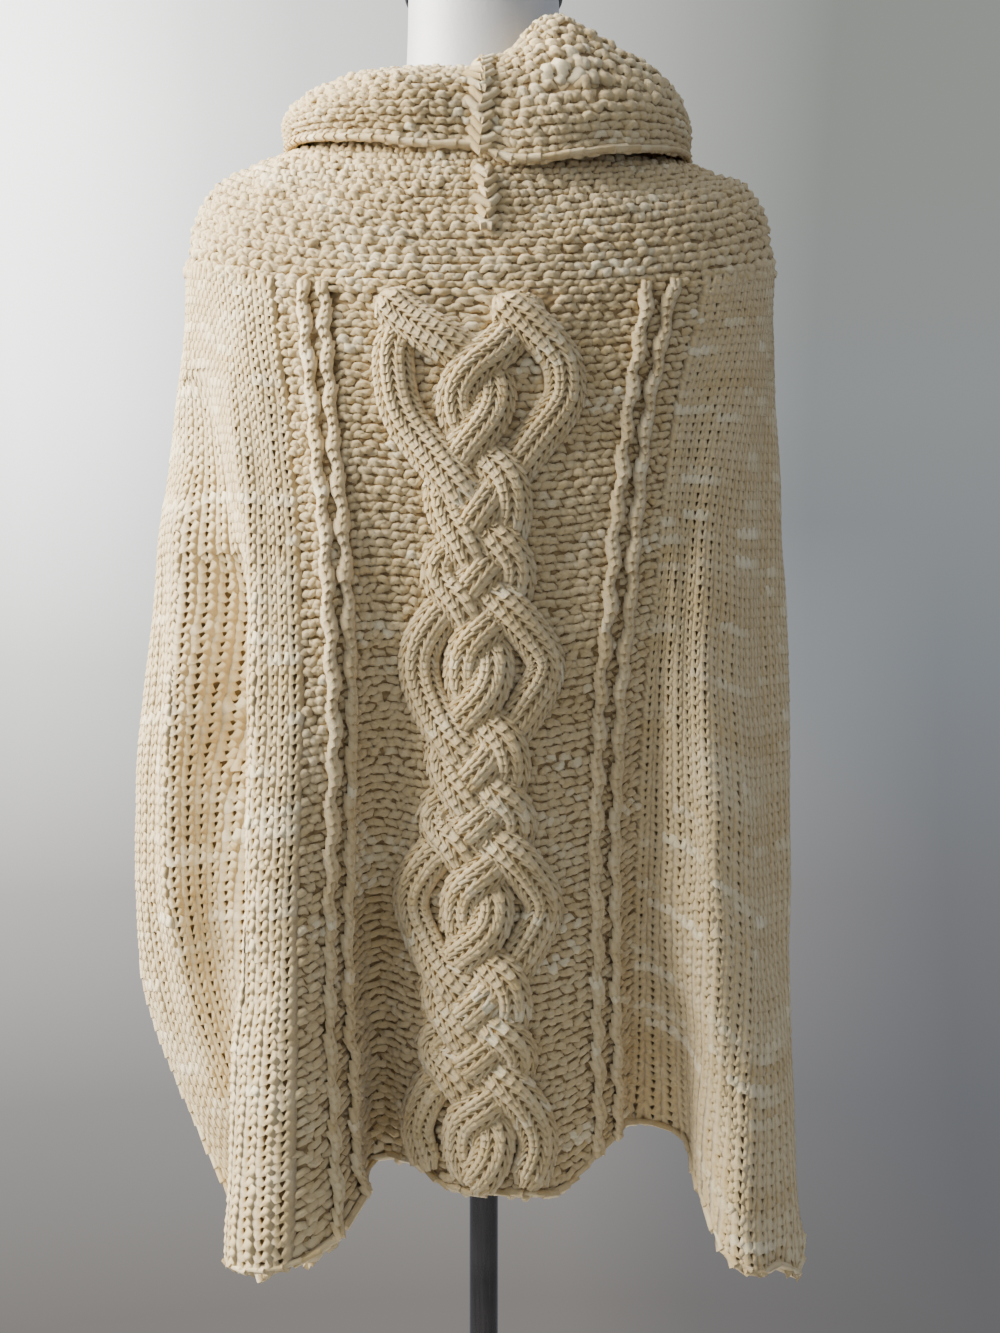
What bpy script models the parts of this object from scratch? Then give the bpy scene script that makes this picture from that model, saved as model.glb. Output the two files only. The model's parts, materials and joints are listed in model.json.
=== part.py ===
"""Knitted poncho sweater on a limbless dress form: the garment's sewn pieces and the stand that holds them.

Metres, +Z up, the stand's underside on z = 0 and its pole on the Z axis. The garment's back faces -Y.
"""

import math

import bmesh
import bpy
from mathutils import Vector

# ---------------------------------------------------------------- driving sizes
CLOTH = 0.004  # wall of the heavy knit
SEAM = 0.0003  # gap that separate pieces keep at a seam
SEAM_EASE = 0.0016  # share of a panel left off at its side edges, so that inner corners keep that gap
COLLAR_LIFT = 0.0012  # how far the collar's inner edge starts above the yoke's neckline
YOKE_EDGE_DROP = 0.0018  # how far the panels start below the yoke's edge, to keep their corners clear

NECK_TOP_Z = 1.520
CAP_RADIUS = 0.0585
CAP_HEIGHT = 0.014
CAP_ROUNDING = 0.004
FORM_BOTTOM_Z = 0.865
POLE_RADIUS = 0.0105
SLEEVE_RADIUS = 0.016
SLEEVE_BOTTOM_Z = 0.815
BASE_RADIUS = 0.160
BASE_THICKNESS = 0.010
HUB_RADIUS = 0.030
HUB_TOP_Z = 0.046

FORM_SIDES = 36
TURNED_SIDES = 40
YOKE_GRID = (52, 6)  # faces round, faces down
COLLAR_GRID = (52, 9)
BACK_GRID = (60, 18)
FRONT_GRID = (36, 13)

# ---------------------------------------------------------------- tables
# Horizontal sections of the dress form, from the neck down: an oval with its own depth to the back and
# to the front.
FORM_COLUMNS = ("height", "half_width", "back", "front")
FORM_SECTIONS = [
    (NECK_TOP_Z, 0.0555, 0.0555, 0.0555),
    (1.480, 0.0565, 0.0570, 0.0560),
    (1.445, 0.0590, 0.0610, 0.0585),
    (1.414, 0.0650, 0.0670, 0.0620),
    (1.394, 0.0980, 0.0720, 0.0660),
    (1.382, 0.1370, 0.0770, 0.0710),
    (1.369, 0.1640, 0.0830, 0.0790),
    (1.351, 0.1820, 0.0890, 0.0880),
    (1.325, 0.1910, 0.0950, 0.0970),
    (1.270, 0.1850, 0.1010, 0.1110),
    (1.195, 0.1690, 0.1010, 0.1200),
    (1.120, 0.1480, 0.0930, 0.1060),
    (1.045, 0.1290, 0.0840, 0.0880),
    (0.970, 0.1370, 0.0850, 0.0900),
    (0.905, 0.1480, 0.0840, 0.0920),
    (FORM_BOTTOM_Z, 0.1470, 0.0800, 0.0880),
]

# Rings of the yoke, from the neckline out to its lower edge. The height differs at the sides, back and
# front.
YOKE_COLUMNS = ("half_width", "back", "front", "side_z", "back_z", "front_z")
YOKE_RINGS = [
    (0.1000, 0.0860, 0.0860, 1.4130, 1.4020, 1.3920),
    (0.1240, 0.0960, 0.1020, 1.4090, 1.3850, 1.3740),
    (0.1540, 0.1050, 0.1150, 1.4030, 1.3610, 1.3500),
    (0.1870, 0.1120, 0.1260, 1.3890, 1.3340, 1.3240),
    (0.2060, 0.1165, 0.1330, 1.3640, 1.3070, 1.2990),
    (0.2140, 0.1200, 0.1390, 1.3240, 1.2790, 1.2740),
]
YOKE_SHIFT_X = -0.002
YOKE_SQUARENESS = 2.25  # 2 is an ellipse, more is boxier
YOKE_DIP = 1.3  # how soon a ring's height falls away from its sides, 1 soonest
RIGHT_DIP = 0.009  # how much lower the yoke lies under the collar's right side

# The cowl collar's section at angles round the neck, in degrees from the centre back towards the right.
# top is the roll's highest line, out its widest line, and edge the free edge of the part that is folded
# over, which rests on the yoke.
COLLAR_COLUMNS = ("angle", "top_r", "top_z", "out_r", "out_z", "edge_r")
COLLAR_STATIONS = [
    (-180, 0.105, 1.4200, 0.138, 1.3820, 0.131),
    (-135, 0.113, 1.4290, 0.151, 1.4060, 0.146),
    (-92, 0.116, 1.4360, 0.146, 1.4240, 0.143),
    (-60, 0.108, 1.4380, 0.140, 1.4160, 0.136),
    (-30, 0.093, 1.4400, 0.121, 1.4080, 0.117),
    (-4, 0.085, 1.4370, 0.109, 1.4060, 0.1045),
    (10, 0.082, 1.4480, 0.113, 1.4000, 0.1105),
    (36, 0.082, 1.4820, 0.129, 1.4080, 0.128),
    (58, 0.096, 1.4660, 0.145, 1.4160, 0.144),
    (90, 0.116, 1.4560, 0.153, 1.4240, 0.151),
    (135, 0.114, 1.4400, 0.153, 1.4100, 0.148),
]
EDGE_CLEARANCE = 0.0025  # between that edge and the yoke
STAND_LEAN = 0.012  # how far the collar leans in on its way up to the roll
ROLL_FULLNESS = 0.004  # how far it bulges on its way down from the roll

# Folds of the back panel, from its left side seam to its right one, as seen from behind.
# share is how far across the panel a line of stitches lies. The rest is where it hangs at three heights.
PANEL_COLUMNS = (
    "share", "upper_x", "upper_y", "mid_x", "mid_y", "hem_x", "hem_y", "hem_z",
)
BACK_FOLDS = [
    (0.000, -0.2400, 0.0060, -0.2500, 0.0000, -0.1540, -0.0700, 0.6160),  # side seam, then vent edge
    (0.075, -0.2130, -0.0560, -0.2150, -0.0500, -0.1270, -0.0660, 0.6220),  # far layer
    (0.130, -0.1760, -0.0900, -0.1820, -0.0560, -0.1140, -0.0860, 0.6320),  # far valley
    (0.190, -0.1540, -0.1060, -0.1610, -0.1020, -0.1500, -0.1060, 0.6420),  # back of the near fold
    (0.230, -0.1430, -0.1180, -0.1520, -0.1320, -0.1640, -0.1380, 0.6480),  # its left side
    (0.275, -0.1260, -0.1270, -0.1270, -0.1500, -0.1310, -0.1650, 0.6580),  # its crest
    (0.325, -0.0990, -0.1300, -0.0960, -0.1330, -0.0890, -0.1430, 0.6740),  # its right side, at the cords
    (0.390, -0.0660, -0.1250, -0.0700, -0.0960, -0.0750, -0.0660, 0.6950),  # near valley
    (0.440, -0.0330, -0.1260, -0.0410, -0.1080, -0.0400, -0.0960, 0.6910),  # left of the cable
    (0.500, 0.0030, -0.1300, 0.0030, -0.1270, 0.0040, -0.1220, 0.6890),  # cable
    (0.560, 0.0430, -0.1260, 0.0430, -0.1210, 0.0440, -0.1180, 0.6880),  # right of the cable
    (0.625, 0.0900, -0.1160, 0.0850, -0.1020, 0.0880, -0.0860, 0.7040),  # right cords
    (0.680, 0.1160, -0.1080, 0.1080, -0.0840, 0.1060, -0.0520, 0.7180),  # right valley
    (0.740, 0.1330, -0.1060, 0.1320, -0.1060, 0.1420, -0.0600, 0.7060),  # inner side of the right fold
    (0.800, 0.1540, -0.0980, 0.1540, -0.1200, 0.1450, -0.1160, 0.6760),  # its left side
    (0.860, 0.1760, -0.0790, 0.1800, -0.0980, 0.1680, -0.1500, 0.6450),  # its crest
    (0.930, 0.2020, -0.0400, 0.2080, -0.0520, 0.2110, -0.1000, 0.6370),  # its outer side
    (1.000, 0.2220, 0.0100, 0.2200, 0.0040, 0.2040, -0.0360, 0.6380),  # side seam, then vent edge
]
# The front panel, from the right side seam round to the left one.
FRONT_FOLDS = [
    (0.000, 0.2220, 0.0100, 0.2200, 0.0040, 0.1760, 0.0560, 0.6380),
    (0.110, 0.2080, 0.0640, 0.2060, 0.0700, 0.1840, 0.1180, 0.6440),
    (0.210, 0.1640, 0.1140, 0.1620, 0.1340, 0.1500, 0.1620, 0.6580),
    (0.310, 0.1080, 0.1400, 0.1060, 0.1320, 0.1040, 0.1160, 0.6860),
    (0.410, 0.0560, 0.1520, 0.0560, 0.1420, 0.0560, 0.1240, 0.6940),
    (0.500, 0.0000, 0.1580, 0.0020, 0.1580, 0.0040, 0.1560, 0.6940),
    (0.590, -0.0560, 0.1520, -0.0540, 0.1460, -0.0480, 0.1320, 0.6960),
    (0.690, -0.1120, 0.1380, -0.1060, 0.1260, -0.0900, 0.1120, 0.6900),
    (0.790, -0.1740, 0.1120, -0.1680, 0.1260, -0.1320, 0.1420, 0.6620),
    (0.890, -0.2230, 0.0640, -0.2260, 0.0640, -0.1540, 0.1080, 0.6360),
    (1.000, -0.2400, 0.0060, -0.2500, 0.0000, -0.1450, 0.0480, 0.6160),
]
LEVELS = (0.0, 0.30, 0.72, 1.0)  # yoke edge, upper, mid (where the side vents start) and hem
SEAM_REACH = 0.12  # share of a panel over which a side seam steadies its neighbour
LEFT_SEAM_ANGLE = -100  # on the yoke's edge, in degrees from the centre back
RIGHT_SEAM_ANGLE = 98


# ---------------------------------------------------------------- curves through the tables
def column(rows, columns, name):
    index = columns.index(name)
    return [row[index] for row in rows]


def smooth(places, values, at):
    """A smooth curve through (place, value) pairs that keeps its end slopes."""
    last = len(places) - 1
    k = 0
    while k < last - 1 and at > places[k + 1]:
        k += 1

    def slope(i):
        if i == 0:
            return (values[1] - values[0]) / (places[1] - places[0])
        if i == last:
            return (values[last] - values[last - 1]) / (places[last] - places[last - 1])
        return (values[i + 1] - values[i - 1]) / (places[i + 1] - places[i - 1])

    step = places[k + 1] - places[k]
    t = min(max((at - places[k]) / step, 0.0), 1.0)
    rise, settle = t * t * (3 - 2 * t), t * t * (t - 1)
    start = t * (1 - t) * (1 - t)
    return (
        values[k] * (1 - rise)
        + values[k + 1] * rise
        + (slope(k) * start + slope(k + 1) * settle) * step
    )


def row_at(rows, columns, places, at):
    """Every column of a table, read at one place between its rows."""
    return {name: smooth(places, column(rows, columns, name), at) for name in columns}


def oval(angle, half_width, back, front, squareness=2.0):
    """A point of a rounded ring, with the angle measured from the centre back towards +X."""
    across, along = math.sin(angle), math.cos(angle)
    depth = back if along > 0 else front
    power = 2.0 / squareness
    x = math.copysign(abs(across) ** power, across) * half_width
    y = -math.copysign(abs(along) ** power, along) * depth
    return x, y


def yoke_point(angle, down):
    """The yoke's outside, down from 0 at the neckline to 1 at its lower edge."""
    places = [i / (len(YOKE_RINGS) - 1) for i in range(len(YOKE_RINGS))]
    row = row_at(YOKE_RINGS, YOKE_COLUMNS, places, down)
    squareness = 2.0 + (YOKE_SQUARENESS - 2.0) * down
    x, y = oval(angle, row["half_width"], row["back"], row["front"], squareness)
    along = math.cos(angle)
    centre_z = row["back_z"] if along > 0 else row["front_z"]
    z = row["side_z"] + (centre_z - row["side_z"]) * abs(along) ** YOKE_DIP
    under_collar = max(0.0, 1.0 - down / 0.6) ** 0.5
    z -= RIGHT_DIP * max(0.0, math.sin(angle)) ** 2 * under_collar
    return Vector((x + YOKE_SHIFT_X * down, y, z))


def yoke_height(angle, radius):
    """The height of the yoke's outside at this distance from the pole's axis."""
    low, high = 0.0, 1.0
    for _ in range(24):
        middle = (low + high) / 2
        point = yoke_point(angle, middle)
        if math.hypot(point.x, point.y) < radius:
            low = middle
        else:
            high = middle
    return yoke_point(angle, low).z


def collar_point(angle, along):
    """The collar's outside: up from the neckline, over the roll and down to the folded part's edge."""
    degrees = (math.degrees(angle) + 180) % 360 - 180
    before = (COLLAR_STATIONS[-1][0] - 360, *COLLAR_STATIONS[-1][1:])
    after = [(row[0] + 360, *row[1:]) for row in COLLAR_STATIONS[:2]]
    wrapped = [before, *COLLAR_STATIONS, *after]
    angles = column(wrapped, COLLAR_COLUMNS, "angle")
    row = row_at(wrapped, COLLAR_COLUMNS, angles, degrees)
    base = yoke_point(angle, 0.0)
    base_r = math.hypot(base.x, base.y)
    base_z = base.z + COLLAR_LIFT
    edge_z = yoke_height(angle, row["edge_r"] - CLOTH) + EDGE_CLEARANCE
    top_r, top_z, out_r, out_z = row["top_r"], row["top_z"], row["out_r"], row["out_z"]
    path = [
        (0.00, base_r, base_z),
        (0.17, base_r * 0.4 + top_r * 0.6 - STAND_LEAN, base_z * 0.45 + top_z * 0.55),
        (0.34, top_r, top_z),
        (0.52, top_r * 0.45 + out_r * 0.55 + ROLL_FULLNESS, top_z * 0.55 + out_z * 0.45),
        (0.72, out_r, out_z),
        (1.00, row["edge_r"], edge_z),
    ]
    places = [p[0] for p in path]
    radius = smooth(places, [p[1] for p in path], along)
    height = smooth(places, [p[2] for p in path], along)
    return Vector((math.sin(angle) * radius, -math.cos(angle) * radius, height))


def panel_point(folds, neighbour, first_angle, last_angle, share, down):
    """A point of a body panel's outside, share across it and down from the yoke's edge to the hem.

    Above the vents the curve runs on into the neighbouring panel, so that the side seams don't pinch. Next
    to a seam it heads for the middle of the two hem corners, which only part below the vent's top.
    """
    shares = column(folds, PANEL_COLUMNS, "share")
    next_share = neighbour[1][0]
    previous_share = neighbour[-2][0] - 1.0

    def at(name):
        values = column(folds, PANEL_COLUMNS, name)
        if name.startswith("hem"):
            return smooth(shares, values, share)
        beside = column(neighbour, PANEL_COLUMNS, name)
        places = [previous_share, *shares, 1.0 + next_share]
        return smooth(places, [beside[-2], *values, beside[1]], share)

    angle = math.radians(first_angle + (last_angle - first_angle) * share)
    top = yoke_point(angle, 1.0)
    top_z = top.z - YOKE_EDGE_DROP
    hem_x, hem_y = at("hem_x"), at("hem_y")
    if down <= LEVELS[2]:
        beside = neighbour[-1] if share < 0.5 else neighbour[0]
        near = max(0.0, 1.0 - min(share, 1.0 - share) / SEAM_REACH) / 2
        hem_x += (beside[PANEL_COLUMNS.index("hem_x")] - hem_x) * near
        hem_y += (beside[PANEL_COLUMNS.index("hem_y")] - hem_y) * near
    x = smooth(LEVELS, (top.x, at("upper_x"), at("mid_x"), hem_x), down)
    y = smooth(LEVELS, (top.y, at("upper_y"), at("mid_y"), hem_y), down)
    return Vector((x, y, top_z + (at("hem_z") - top_z) * down))


# ---------------------------------------------------------------- helpers
def clear_scene():
    for obj in list(bpy.data.objects):
        bpy.data.objects.remove(obj, do_unlink=True)


def finish_material(name, colour, roughness, metallic=0.0):
    material = bpy.data.materials.new(name)
    material.use_nodes = True
    shader = material.node_tree.nodes["Principled BSDF"]
    shader.inputs["Base Color"].default_value = (*colour, 1.0)
    shader.inputs["Roughness"].default_value = roughness
    shader.inputs["Metallic"].default_value = metallic
    return material


def add_object(name, mesh, material, collection):
    obj = bpy.data.objects.new(name, mesh)
    obj.data.materials.append(material)
    collection.objects.link(obj)
    return obj


def grid_mesh(name, grid, place, closed):
    """A grid of faces at the points place(across, down), both from 0 to 1. A closed one meets itself."""
    mesh = bpy.data.meshes.new(name)
    shape = bmesh.new()
    bmesh.ops.create_grid(shape, x_segments=grid[0], y_segments=grid[1], size=1.0)
    for vertex in shape.verts:
        vertex.co = place((vertex.co.x + 1) / 2, (1 - vertex.co.y) / 2)
    if closed:
        bmesh.ops.remove_doubles(shape, verts=shape.verts, dist=1e-5)
    shape.normal_update()
    middle = sum((v.co for v in shape.verts), Vector()) / len(shape.verts)
    outward = sum((f.normal.dot(f.calc_center_median() - middle) * f.calc_area() for f in shape.faces))
    if outward < 0:
        bmesh.ops.reverse_faces(shape, faces=shape.faces)
    shape.to_mesh(mesh)
    shape.free()
    mesh.shade_smooth()
    return mesh


def cloth_piece(name, grid, place, closed, material, collection):
    """A knitted piece: an open surface on the outside, with its wall laid inwards by Solidify."""
    obj = add_object(name, grid_mesh(name, grid, place, closed), material, collection)
    wall = obj.modifiers.new("wall", "SOLIDIFY")
    wall.thickness = CLOTH
    wall.offset = -1.0
    wall.use_even_offset = False
    return obj


def turned_piece(name, profile, material, collection):
    """A turned piece: a profile of (radius, height) points, top to bottom, spun round the pole's axis."""
    mesh = bpy.data.meshes.new(name)
    shape = bmesh.new()
    points = [shape.verts.new((radius, 0.0, height)) for radius, height in profile]
    for first, second in zip(points, points[1:]):
        shape.edges.new((first, second))
    shape.to_mesh(mesh)
    shape.free()
    obj = add_object(name, mesh, material, collection)
    spin = obj.modifiers.new("turn", "SCREW")
    spin.steps = TURNED_SIDES
    spin.render_steps = TURNED_SIDES
    spin.use_merge_vertices = True
    spin.merge_threshold = 0.00005
    spin.use_smooth_shade = True
    return obj


# ---------------------------------------------------------------- pieces
def make_form(material, collection):
    heights = column(FORM_SECTIONS, FORM_COLUMNS, "height")
    count = len(heights) - 1

    def place(across, down):
        row = FORM_SECTIONS[round(down * count)]
        x, y = oval(across * math.tau, *row[1:])
        return Vector((x, y, row[0]))

    mesh = grid_mesh("dress_form", (FORM_SIDES, count), place, closed=True)
    shape = bmesh.new()
    shape.from_mesh(mesh)
    rims = [edge for edge in shape.edges if edge.is_boundary]
    bmesh.ops.holes_fill(shape, edges=rims, sides=0)
    bmesh.ops.recalc_face_normals(shape, faces=shape.faces)
    shape.to_mesh(mesh)
    shape.free()
    mesh.shade_smooth()
    mesh.set_sharp_from_angle(angle=math.radians(50))
    return add_object("dress_form", mesh, material, collection)


def make_stand(cap_material, metal_material, base_material, collection):
    cap_low, cap_high = NECK_TOP_Z + SEAM, NECK_TOP_Z + SEAM + CAP_HEIGHT
    turned_piece(
        "neck_cap",
        [
            (0.0, cap_high),
            (CAP_RADIUS - CAP_ROUNDING, cap_high),
            (CAP_RADIUS, cap_high - CAP_ROUNDING),
            (CAP_RADIUS, cap_low),
            (0.0, cap_low),
        ],
        cap_material,
        collection,
    )
    sleeve_top = FORM_BOTTOM_Z - SEAM
    turned_piece(
        "pole_sleeve",
        [
            (0.0, sleeve_top),
            (SLEEVE_RADIUS, sleeve_top),
            (SLEEVE_RADIUS, SLEEVE_BOTTOM_Z + 0.002),
            (SLEEVE_RADIUS - 0.002, SLEEVE_BOTTOM_Z),
            (0.0, SLEEVE_BOTTOM_Z),
        ],
        metal_material,
        collection,
    )
    turned_piece(
        "pole",
        [
            (0.0, SLEEVE_BOTTOM_Z - SEAM),
            (POLE_RADIUS, SLEEVE_BOTTOM_Z - SEAM),
            (POLE_RADIUS, HUB_TOP_Z + SEAM),
            (0.0, HUB_TOP_Z + SEAM),
        ],
        metal_material,
        collection,
    )
    turned_piece(
        "stand_base",
        [
            (0.0, HUB_TOP_Z),
            (HUB_RADIUS * 0.55, HUB_TOP_Z),
            (HUB_RADIUS * 0.72, HUB_TOP_Z - 0.006),
            (HUB_RADIUS, BASE_THICKNESS + 0.006),
            (HUB_RADIUS * 1.5, BASE_THICKNESS),
            (BASE_RADIUS - 0.004, BASE_THICKNESS - 0.002),
            (BASE_RADIUS, BASE_THICKNESS - 0.006),
            (BASE_RADIUS, 0.0),
            (0.0, 0.0),
        ],
        base_material,
        collection,
    )


def make_garment(knit, collection):
    def yoke_place(across, down):
        return yoke_point(across * math.tau, down)

    def collar_place(across, along):
        return collar_point(across * math.tau, along)

    def back_place(across, down):
        share = SEAM_EASE + across * (1 - 2 * SEAM_EASE)
        return panel_point(BACK_FOLDS, FRONT_FOLDS, LEFT_SEAM_ANGLE, RIGHT_SEAM_ANGLE, share, down)

    def front_place(across, down):
        share = SEAM_EASE + across * (1 - 2 * SEAM_EASE)
        return panel_point(FRONT_FOLDS, BACK_FOLDS, RIGHT_SEAM_ANGLE, LEFT_SEAM_ANGLE + 360, share, down)

    cloth_piece("yoke", YOKE_GRID, yoke_place, True, knit, collection)
    cloth_piece("cowl_collar", COLLAR_GRID, collar_place, True, knit, collection)
    cloth_piece("back_panel", BACK_GRID, back_place, False, knit, collection)
    cloth_piece("front_panel", FRONT_GRID, front_place, False, knit, collection)


def main():
    clear_scene()
    collection = bpy.data.collections.new("knitted_poncho_on_form")
    bpy.context.scene.collection.children.link(collection)
    knit = finish_material("cream_knit", (0.66, 0.56, 0.42), 0.95)
    white = finish_material("white_form", (0.80, 0.81, 0.84), 0.45)
    black = finish_material("black_cap", (0.02, 0.02, 0.02), 0.40)
    steel = finish_material("dark_steel", (0.10, 0.09, 0.09), 0.30, 1.0)
    base = finish_material("base_enamel", (0.03, 0.03, 0.03), 0.35)
    make_form(white, collection)
    make_stand(black, steel, base, collection)
    make_garment(knit, collection)


main()
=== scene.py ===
# %% [markdown]
# # A knitted poncho on a dress form
# The garment is a heavy slub knit: two body panels, a round yoke and a folded cowl. Each piece is made
# twice here. First comes a thin sheet that has the drape, then the yarn itself is laid on it stitch by
# stitch. The first cell loads the finished construction model, which fixes every size and place.

import json
import math

import bpy
import numpy as np
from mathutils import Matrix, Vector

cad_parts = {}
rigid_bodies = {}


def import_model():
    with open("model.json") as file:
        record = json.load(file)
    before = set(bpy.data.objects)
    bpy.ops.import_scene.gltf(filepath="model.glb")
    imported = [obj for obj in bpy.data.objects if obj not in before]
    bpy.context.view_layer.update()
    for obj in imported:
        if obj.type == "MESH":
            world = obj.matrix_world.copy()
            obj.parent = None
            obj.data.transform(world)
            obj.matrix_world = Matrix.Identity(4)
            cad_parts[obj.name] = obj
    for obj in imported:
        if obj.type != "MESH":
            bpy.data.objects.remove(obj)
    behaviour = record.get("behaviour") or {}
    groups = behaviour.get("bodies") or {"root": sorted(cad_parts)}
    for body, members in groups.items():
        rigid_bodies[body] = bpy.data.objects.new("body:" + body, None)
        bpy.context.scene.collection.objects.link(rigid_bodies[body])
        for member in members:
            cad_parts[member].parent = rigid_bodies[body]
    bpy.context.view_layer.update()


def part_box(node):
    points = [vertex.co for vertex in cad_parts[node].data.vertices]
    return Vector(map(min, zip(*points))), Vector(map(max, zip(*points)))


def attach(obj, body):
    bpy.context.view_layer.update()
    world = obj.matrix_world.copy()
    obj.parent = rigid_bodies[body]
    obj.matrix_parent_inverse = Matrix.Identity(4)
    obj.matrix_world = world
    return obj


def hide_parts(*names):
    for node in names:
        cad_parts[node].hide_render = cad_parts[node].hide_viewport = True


for startup_object in list(bpy.data.objects):
    bpy.data.objects.remove(startup_object, do_unlink=True)
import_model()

# %% [markdown]
# ## Camera
# The garment is seen from behind, at chest height and from about a metre away, so that the hem is seen
# from slightly above. The camera is level, which keeps the pole upright.

# %% Camera
LENS_MM = 38.37
CAMERA_PLACE = (0.012, -1.05, 1.03)
camera = bpy.data.objects.new("camera", bpy.data.cameras.new("camera"))
camera.data.sensor_width = 36.0
camera.data.lens = LENS_MM
camera.location = CAMERA_PLACE
camera.rotation_euler = (math.radians(90), 0.0, 0.0)
bpy.context.scene.collection.objects.link(camera)
bpy.context.scene.camera = camera
print("camera is", round(-CAMERA_PLACE[1], 2), "m from the pole")

# %% [markdown]
# ## Curves through tables
# A drape is easiest to describe by a few lines of the cloth and the places they pass through. These
# helpers read such a table anywhere between its rows. They work on whole arrays at once, which keeps fine
# grids quick.


# %% Curves through tables
def column(rows, columns, name):
    index = columns.index(name)
    return [row[index] for row in rows]


def smooth(places, values, at):
    """A smooth curve through (place, value) pairs that keeps its end slopes."""
    places = np.asarray(places, float)
    shape = np.broadcast_shapes(np.shape(at), *[np.shape(v) for v in values])
    at = np.broadcast_to(np.asarray(at, float), shape).ravel()
    values = np.stack([np.broadcast_to(np.asarray(v, float), shape).ravel() for v in values])
    last = len(places) - 1
    slopes = np.empty_like(values)
    slopes[0] = (values[1] - values[0]) / (places[1] - places[0])
    slopes[last] = (values[last] - values[last - 1]) / (places[last] - places[last - 1])
    spans = (places[2:] - places[:-2])[:, None]
    slopes[1:last] = (values[2:] - values[:-2]) / spans
    k = np.searchsorted(places[1:last], at, side="left")
    which = np.arange(len(at))
    step = places[k + 1] - places[k]
    t = np.clip((at - places[k]) / step, 0.0, 1.0)
    rise, settle = t * t * (3 - 2 * t), t * t * (t - 1)
    start = t * (1 - t) * (1 - t)
    found = (
        values[k, which] * (1 - rise)
        + values[k + 1, which] * rise
        + (slopes[k, which] * start + slopes[k + 1, which] * settle) * step
    )
    return found.reshape(shape)


def row_at(rows, columns, places, at):
    """Every column of a table, read at one array of places between its rows."""
    return {name: smooth(places, column(rows, columns, name), at) for name in columns}


def oval(angle, half_width, back, front, squareness=2.0):
    """A point of a rounded ring, with the angle measured from the centre back towards +X."""
    across, along = np.sin(angle), np.cos(angle)
    depth = np.where(along > 0, back, front)
    power = 2.0 / squareness
    x = np.copysign(np.abs(across) ** power, across) * half_width
    y = -np.copysign(np.abs(along) ** power, along) * depth
    return x, y


def stacked(x, y, z):
    """Three arrays as one array of points."""
    shape = np.broadcast_shapes(np.shape(x), np.shape(y), np.shape(z))
    return np.stack([np.broadcast_to(v, shape) for v in (x, y, z)], axis=-1)


print("a curve through 0, 1, 0 is", round(float(smooth([0, 1, 2], [0, 1, 0], 0.5)), 3), "half way up")

# %% [markdown]
# ## The yoke and the cowl
# The yoke is a shallow dome of rings. The cowl is a tube that stands up from the yoke's neckline, rolls
# over and comes down again, so one line over its section describes it: up, over and down to the free
# edge.

# %% Yoke and cowl shapes
CLOTH = 0.004
YOKE_COLUMNS = ("half_width", "back", "front", "side_z", "back_z", "front_z")
YOKE_RINGS = [
    (0.1000, 0.0860, 0.0860, 1.4130, 1.4020, 1.3920),
    (0.1240, 0.0960, 0.1020, 1.4090, 1.3850, 1.3740),
    (0.1540, 0.1050, 0.1150, 1.4030, 1.3610, 1.3500),
    (0.1870, 0.1120, 0.1260, 1.3890, 1.3340, 1.3240),
    (0.2060, 0.1165, 0.1330, 1.3640, 1.3070, 1.2990),
    (0.2140, 0.1200, 0.1390, 1.3240, 1.2790, 1.2740),
]
YOKE_SHIFT_X = -0.002
YOKE_SQUARENESS = 2.25
YOKE_DIP = 1.3
RIGHT_DIP = 0.009
COLLAR_COLUMNS = ("angle", "top_r", "top_z", "out_r", "out_z", "edge_r")
COLLAR_STATIONS = [
    (-180, 0.105, 1.4200, 0.138, 1.3820, 0.131),
    (-135, 0.113, 1.4290, 0.151, 1.4060, 0.146),
    (-92, 0.116, 1.4360, 0.146, 1.4240, 0.143),
    (-60, 0.108, 1.4380, 0.140, 1.4160, 0.136),
    (-30, 0.093, 1.4400, 0.121, 1.4080, 0.117),
    (-4, 0.085, 1.4370, 0.109, 1.4060, 0.1045),
    (10, 0.082, 1.4480, 0.113, 1.4000, 0.1105),
    (36, 0.082, 1.4820, 0.129, 1.4080, 0.128),
    (58, 0.096, 1.4660, 0.145, 1.4160, 0.144),
    (90, 0.116, 1.4560, 0.153, 1.4240, 0.151),
    (135, 0.114, 1.4400, 0.153, 1.4100, 0.148),
]
EDGE_CLEARANCE = 0.0025
COLLAR_LIFT = 0.0012
STAND_LEAN = 0.012
ROLL_FULLNESS = 0.004


def yoke_place(angle, down):
    """The yoke's outside, down from 0 at the neckline to 1 at its lower edge."""
    places = [i / (len(YOKE_RINGS) - 1) for i in range(len(YOKE_RINGS))]
    row = row_at(YOKE_RINGS, YOKE_COLUMNS, places, down)
    squareness = 2.0 + (YOKE_SQUARENESS - 2.0) * down
    x, y = oval(angle, row["half_width"], row["back"], row["front"], squareness)
    along = np.cos(angle)
    centre_z = np.where(along > 0, row["back_z"], row["front_z"])
    z = row["side_z"] + (centre_z - row["side_z"]) * np.abs(along) ** YOKE_DIP
    under_collar = np.maximum(0.0, 1.0 - down / 0.6) ** 0.5
    z = z - RIGHT_DIP * np.maximum(0.0, np.sin(angle)) ** 2 * under_collar
    return stacked(x + YOKE_SHIFT_X * down, y, z)


def yoke_height(angle, radius):
    """The height of the yoke's outside at this distance from the pole's axis."""
    low, high = np.zeros_like(radius), np.ones_like(radius)
    for _ in range(24):
        middle = (low + high) / 2
        point = yoke_place(angle, middle)
        inside = np.hypot(point[..., 0], point[..., 1]) < radius
        low, high = np.where(inside, middle, low), np.where(inside, high, middle)
    return yoke_place(angle, low)[..., 2]


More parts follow.
